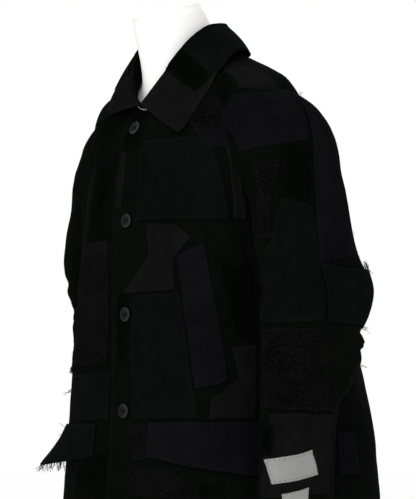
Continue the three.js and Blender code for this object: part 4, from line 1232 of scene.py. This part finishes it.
def button_place(height):
    """Turns a button made about Z, its back at the origin, into its place on the front."""
    angle, z = np.zeros(1), np.array([float(height)])
    level = body.level_at(angle, z)
    low, high = (body.skin(level, angle, np.array([up]))[0] for up in (BUTTON_LIFT, BUTTON_LIFT + 1.0))
    out = Vector(high - low).normalized()
    side = Vector((0, 0, 1)).cross(out).normalized()
    matrix = Matrix((side, out.cross(side), out)).transposed().to_4x4()
    matrix.translation = Vector(low * MM)
    return matrix


def build_buttons():
    sizes, colours = bpy.context.scene.coat_sizes, bpy.context.scene.coat_colours
    # Moulded polyester button: polished, with a paler rim top that is partly wear and partly a painted
    # highlight
    material = finish_of("Polyester button, slate", lambda name: plain_material(
        name, colours.button, 0.25, shine=0.05, mottle=0.35, mottle_scale=90.0,
        edge_wear_and_highlight_colour=colours.button_rim_wear_and_highlight))
    size = sizes.button / (2 * BUTTON_PROFILE[3][0] * MM)
    for number, height in enumerate(BUTTON_HEIGHTS, 1):
        place = button_place(height)
        # The rim's top above 2.9 mm gets the paler colour, partly a painted highlight
        bm = spun([(r * size, z) for r, z in BUTTON_PROFILE], 48, BUTTON_RIM * size, 2.9)
        button = finish_mesh(f"button_{number}_disc", bm, material, [f"button_{number}"])
        drill = bmesh.new()
        for x, y in ((-1, -1), (1, -1), (1, 1), (-1, 1)):
            shift = Matrix.Translation((x * HOLE_OFFSET * MM, y * HOLE_OFFSET * MM, 0.002))
            bmesh.ops.create_cone(drill, cap_ends=True, segments=14, radius1=HOLE_RADIUS * MM,
                                  radius2=HOLE_RADIUS * MM, depth=0.012, matrix=shift)
        cutter_mesh = bpy.data.meshes.new("drill")
        drill.to_mesh(cutter_mesh)
        drill.free()
        cutter = bpy.data.objects.new("drill", cutter_mesh)
        bpy.context.collection.objects.link(cutter)
        holes = button.modifiers.new("holes", "BOOLEAN")
        holes.operation, holes.solver, holes.object = "DIFFERENCE", "EXACT", cutter
        bpy.context.view_layer.update()
        graph = bpy.context.evaluated_depsgraph_get()
        drilled = bpy.data.meshes.new_from_object(button.evaluated_get(graph))
        button.modifiers.clear()
        bpy.data.objects.remove(cutter)
        button.data = drilled
        drilled.transform(place)
        runs = []
        for x in (-1, 1):
            for offset in (-0.45, 0.0, 0.45):
                here = [(x * HOLE_OFFSET + offset, y * HOLE_OFFSET, z) for y, z in
                        ((-1, -1.2), (-1, 2.5), (-0.8, 3.0), (0.8, 3.0), (1, 2.5), (1, -1.2))]
                runs.append(np.array([(place @ (Vector(p) * MM)) / MM for p in here]))
        thread_pieces(f"button_{number}_thread", runs, FRAY_RADIUS, thread_material())
        shank = spun(((0, -BUTTON_LIFT), (SHANK_RADIUS, -BUTTON_LIFT), (SHANK_RADIUS * 0.8, 0),
                      (0, 0.2)), 12)
        bmesh.ops.transform(shank, matrix=place, verts=shank.verts)
        finish_mesh(f"button_{number}_shank", shank, thread_material())


def build_form():
    """The dress form: the solid's own mesh, merged, with its cut edges kept sharp and the rest smoothed."""
    bm = bmesh.new()
    bm.from_mesh(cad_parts["dress_form"].data)
    bmesh.ops.remove_doubles(bm, verts=bm.verts, dist=0.00002)
    bmesh.ops.join_triangles(bm, faces=bm.faces, angle_face_threshold=0.7, angle_shape_threshold=0.7)
    crease = bm.edges.layers.float.new("crease_edge")
    for edge in bm.edges:
        if edge.is_manifold and edge.calc_face_angle() > 0.6:
            edge[crease] = 0.85
    # Glass-fibre shell, sprayed with a satin white paint
    material = finish_of("Sprayed shell, satin white", lambda name: plain_material(
        name, bpy.context.scene.coat_colours.form, 0.45, mottle=0.03, mottle_scale=14.0, bump_mm=1.2))
    piece = finish_mesh("form_body", bm, material, ["dress_form"])
    smoothing = piece.modifiers.new("smoothing", "SUBSURF")
    smoothing.levels = smoothing.render_levels = 1


# Stand profile: the base's underside, its rounded rim, the fillet and the pole, radius and height
STAND_PROFILE = ((0, 0), (198.5, 0), (200, 1.5), (200, 12.5), (199, 15), (196.5, 16), (22, 16), (18, 17.6),
                 (16.4, 20), (16, 23), (16, 841.7), (0, 841.7))


def build_stand():
    # Turned steel, powder-coated white
    material = finish_of("Powder-coated steel, white", lambda name: plain_material(
        name, bpy.context.scene.coat_colours.stand, 0.5, mottle=0.04, mottle_scale=20.0, bump_mm=0.8))
    piece = finish_mesh("stand_turned", spun(STAND_PROFILE, 96), material, ["stand"])
    corners = piece.modifiers.new("corners", "BEVEL")
    corners.width, corners.segments, corners.limit_method, corners.angle_limit = 0.0004, 2, "ANGLE", 0.7


# Camera of the photograph
CAMERA_AZIMUTH = 48
CAMERA_ELEVATION = -5
CAMERA_DISTANCE = 3.3
CAMERA_LENS = 141.7
AIM_SIDE = 0.040
AIM_HEIGHT = 1.140

WORLD_LIGHT = 1.0
# Soft boxes: name, place, aim, side length in metres, power in watts
LAMPS = (
    ("key_light", (1.9, -2.7, 2.6), (0, 0, 1.2), 1.6, 70),
    ("fill_light", (0.4, -3.4, 1.9), (0, 0, 1.1), 2.0, 8),
    ("back_light", (-2.2, 2.4, 2.8), (0, 0, 1.2), 1.8, 5),
)


def build_studio():
    scene = bpy.context.scene
    turn, rise = math.radians(CAMERA_AZIMUTH), math.radians(CAMERA_ELEVATION)
    right = Vector((math.cos(turn), math.sin(turn), 0))
    toward = Vector((math.cos(rise) * math.sin(turn), -math.cos(rise) * math.cos(turn), math.sin(rise)))
    lens = bpy.data.cameras.new("photo_camera")
    lens.lens, lens.sensor_width, lens.clip_end = CAMERA_LENS, 36, 100
    camera = bpy.data.objects.new("photo_camera", lens)
    scene.collection.objects.link(camera)
    camera.location = right * AIM_SIDE + Vector((0, 0, AIM_HEIGHT)) + toward * CAMERA_DISTANCE
    camera.rotation_euler = toward.to_track_quat("Z", "Y").to_euler()
    scene.camera = camera
    scene.view_settings.view_transform = "Standard"

    bm = bmesh.new()
    bmesh.ops.create_circle(bm, cap_ends=True, segments=96, radius=30.0)
    # Studio floor: matt white vinyl, faintly uneven in tone
    material = finish_of("Matt vinyl floor, white", lambda name: plain_material(
        name, scene.coat_colours.floor, 0.9, mottle=0.02, mottle_scale=1.0))
    mesh = bpy.data.meshes.new("studio_floor")
    bm.to_mesh(mesh)
    bm.free()
    floor = bpy.data.objects.new("studio_floor", mesh)
    mesh.materials.append(material)
    scene.collection.objects.link(floor)

    world = bpy.data.worlds.new("studio_light")
    world.use_nodes = True
    world.node_tree.nodes["Background"].inputs["Color"].default_value = (1.0, 1.0, 1.0, 1.0)
    world.node_tree.nodes["Background"].inputs["Strength"].default_value = WORLD_LIGHT
    scene.world = world
    for name, spot, aim, size, power in LAMPS:
        lamp = bpy.data.lights.new(name, "AREA")
        lamp.shape, lamp.size, lamp.energy = "SQUARE", size, power
        holder = bpy.data.objects.new(name, lamp)
        holder.location = spot
        holder.rotation_euler = (Vector(spot) - Vector(aim)).to_track_quat("Z", "Y").to_euler()
        scene.collection.objects.link(holder)


class CoatSizes(bpy.types.PropertyGroup):
    """Sizes of the coat that can be changed without a new pattern"""

    cloth: bpy.props.FloatProperty(
        name="Cloth", description="Thickness of the coat's cloth", default=0.0022, min=0.001, max=0.003,
        subtype="DISTANCE", unit="LENGTH", precision=4)
    patch: bpy.props.FloatProperty(
        name="Patches", description="Thickness of a patch", default=0.0016, min=0.0006, max=0.0018,
        subtype="DISTANCE", unit="LENGTH", precision=4)
    nap: bpy.props.FloatProperty(
        name="Loops", description="How far the loops of the boucle cloth stand up", default=0.0014, min=0.0,
        max=0.003, subtype="DISTANCE", unit="LENGTH", precision=4)
    button: bpy.props.FloatProperty(
        name="Buttons", description="Diameter of a button", default=0.023, min=0.018, max=0.028,
        subtype="DISTANCE", unit="LENGTH", precision=4)


def colour_setting(name, description, code):
    return bpy.props.FloatVectorProperty(name=name, description=description, default=linear(code)[:3],
                                         size=3, min=0.0, max=1.0, subtype="COLOR")


class CoatColours(bpy.types.PropertyGroup):
    """Colours of the cloths, the buttons and the form"""

    melton: colour_setting("Melton", "Main cloth of the coat", "#040504")
    charcoal: colour_setting("Charcoal", "Plain wool patches", "#050606")
    brown_grey: colour_setting("Brown-grey", "Washed wool patches and collar", "#090909")
    velvet: colour_setting("Velvet", "Plain and ribbed velvet patches", "#020302")
    bluish: colour_setting("Blue-black", "Overcoating patches and flaps", "#070709")
    boucle: colour_setting("Boucle ground", "Dark ground of the boucle cloth", "#040404")
    lint: colour_setting("Lint", "Loops, specks and worn edges", "#191918")
    thread: colour_setting("Thread", "Sewing thread and loose threads", "#0e0e0f")
    label: colour_setting("Labels", "Woven labels", "#767674")
    button: colour_setting("Buttons", "Body of the buttons", "#0d0f11")
    # The rim's top is painted paler: partly wear, partly a painted highlight
    button_rim_wear_and_highlight: colour_setting("Button rim", "Worn rim of the buttons with a painted highlight", "#232628")
    form: colour_setting("Form", "Dress form", "#dbdad8")
    stand: colour_setting("Stand", "Pole and base", "#ececea")
    floor: colour_setting("Floor", "Studio floor", "#ffffff")


class COAT_OT_body(bpy.types.Operator):
    """Build the two fronts and the back"""

    bl_idname = "coat.body"
    bl_label = "Fronts and back"

    def execute(self, context):
        build_body()
        return {"FINISHED"}


class COAT_OT_sleeves(bpy.types.Operator):
    """Build the two sleeves"""

    bl_idname = "coat.sleeves"
    bl_label = "Sleeves"

    def execute(self, context):
        build_sleeves()
        return {"FINISHED"}


class COAT_OT_collar(bpy.types.Operator):
    """Build the turn-down collar and its patches"""

    bl_idname = "coat.collar"
    bl_label = "Collar"

    def execute(self, context):
        build_collar()
        return {"FINISHED"}


class COAT_OT_patches(bpy.types.Operator):
    """Sew on the flat patches"""

    bl_idname = "coat.patches"
    bl_label = "Patches"

    def execute(self, context):
        build_patches()
        return {"FINISHED"}


class COAT_OT_pockets(bpy.types.Operator):
    """Sew on the pocket flaps, the pocket welt and the elbow patch"""

    bl_idname = "coat.pockets"
    bl_label = "Pockets and elbow patch"

    def execute(self, context):
        build_pockets()
        return {"FINISHED"}


class COAT_OT_labels(bpy.types.Operator):
    """Sew the two blank labels on the left cuff"""

    bl_idname = "coat.labels"
    bl_label = "Labels"

    def execute(self, context):
        build_labels()
        return {"FINISHED"}


class COAT_OT_threads(bpy.types.Operator):
    """Pull out the frayed edges and loose threads"""

    bl_idname = "coat.threads"
    bl_label = "Loose threads"

    def execute(self, context):
        build_threads()
        return {"FINISHED"}


class COAT_OT_buttons(bpy.types.Operator):
    """Sew on the four buttons"""

    bl_idname = "coat.buttons"
    bl_label = "Buttons"

    def execute(self, context):
        build_buttons()
        return {"FINISHED"}


class COAT_OT_form(bpy.types.Operator):
    """Build the dress form"""

    bl_idname = "coat.form"
    bl_label = "Dress form"

    def execute(self, context):
        build_form()
        return {"FINISHED"}


class COAT_OT_stand(bpy.types.Operator):
    """Build the pole and its base"""

    bl_idname = "coat.stand"
    bl_label = "Stand"

    def execute(self, context):
        build_stand()
        return {"FINISHED"}


class COAT_OT_studio(bpy.types.Operator):
    """Set up the floor, the lights and the camera"""

    bl_idname = "coat.studio"
    bl_label = "Studio"

    def execute(self, context):
        build_studio()
        return {"FINISHED"}


OPERATORS = (COAT_OT_body, COAT_OT_sleeves, COAT_OT_collar, COAT_OT_patches, COAT_OT_pockets,
             COAT_OT_labels, COAT_OT_threads, COAT_OT_buttons, COAT_OT_form, COAT_OT_stand,
             COAT_OT_studio)


class COAT_PT_panel(bpy.types.Panel):
    """Sizes, colours and pieces of the coat"""

    bl_idname = "COAT_PT_panel"
    bl_label = "Patched coat"
    bl_space_type = "VIEW_3D"
    bl_region_type = "UI"
    bl_category = "Coat"

    def draw(self, context):
        for group in (context.scene.coat_sizes, context.scene.coat_colours):
            box = self.layout.box()
            for key in group.__annotations__:
                box.prop(group, key)
        for operator in OPERATORS:
            self.layout.operator(operator.bl_idname)


CLASSES = (CoatSizes, CoatColours, *OPERATORS, COAT_PT_panel)


def register():
    for item in CLASSES:
        bpy.utils.register_class(item)
    bpy.types.Scene.coat_sizes = bpy.props.PointerProperty(type=CoatSizes)
    bpy.types.Scene.coat_colours = bpy.props.PointerProperty(type=CoatColours)


def unregister():
    del bpy.types.Scene.coat_colours
    del bpy.types.Scene.coat_sizes
    for item in reversed(CLASSES):
        bpy.utils.unregister_class(item)


def main():
    register()
    for operator in OPERATORS:
        group, name = operator.bl_idname.split(".")
        getattr(getattr(bpy.ops, group), name)()


if __name__ == "__main__":
    main()
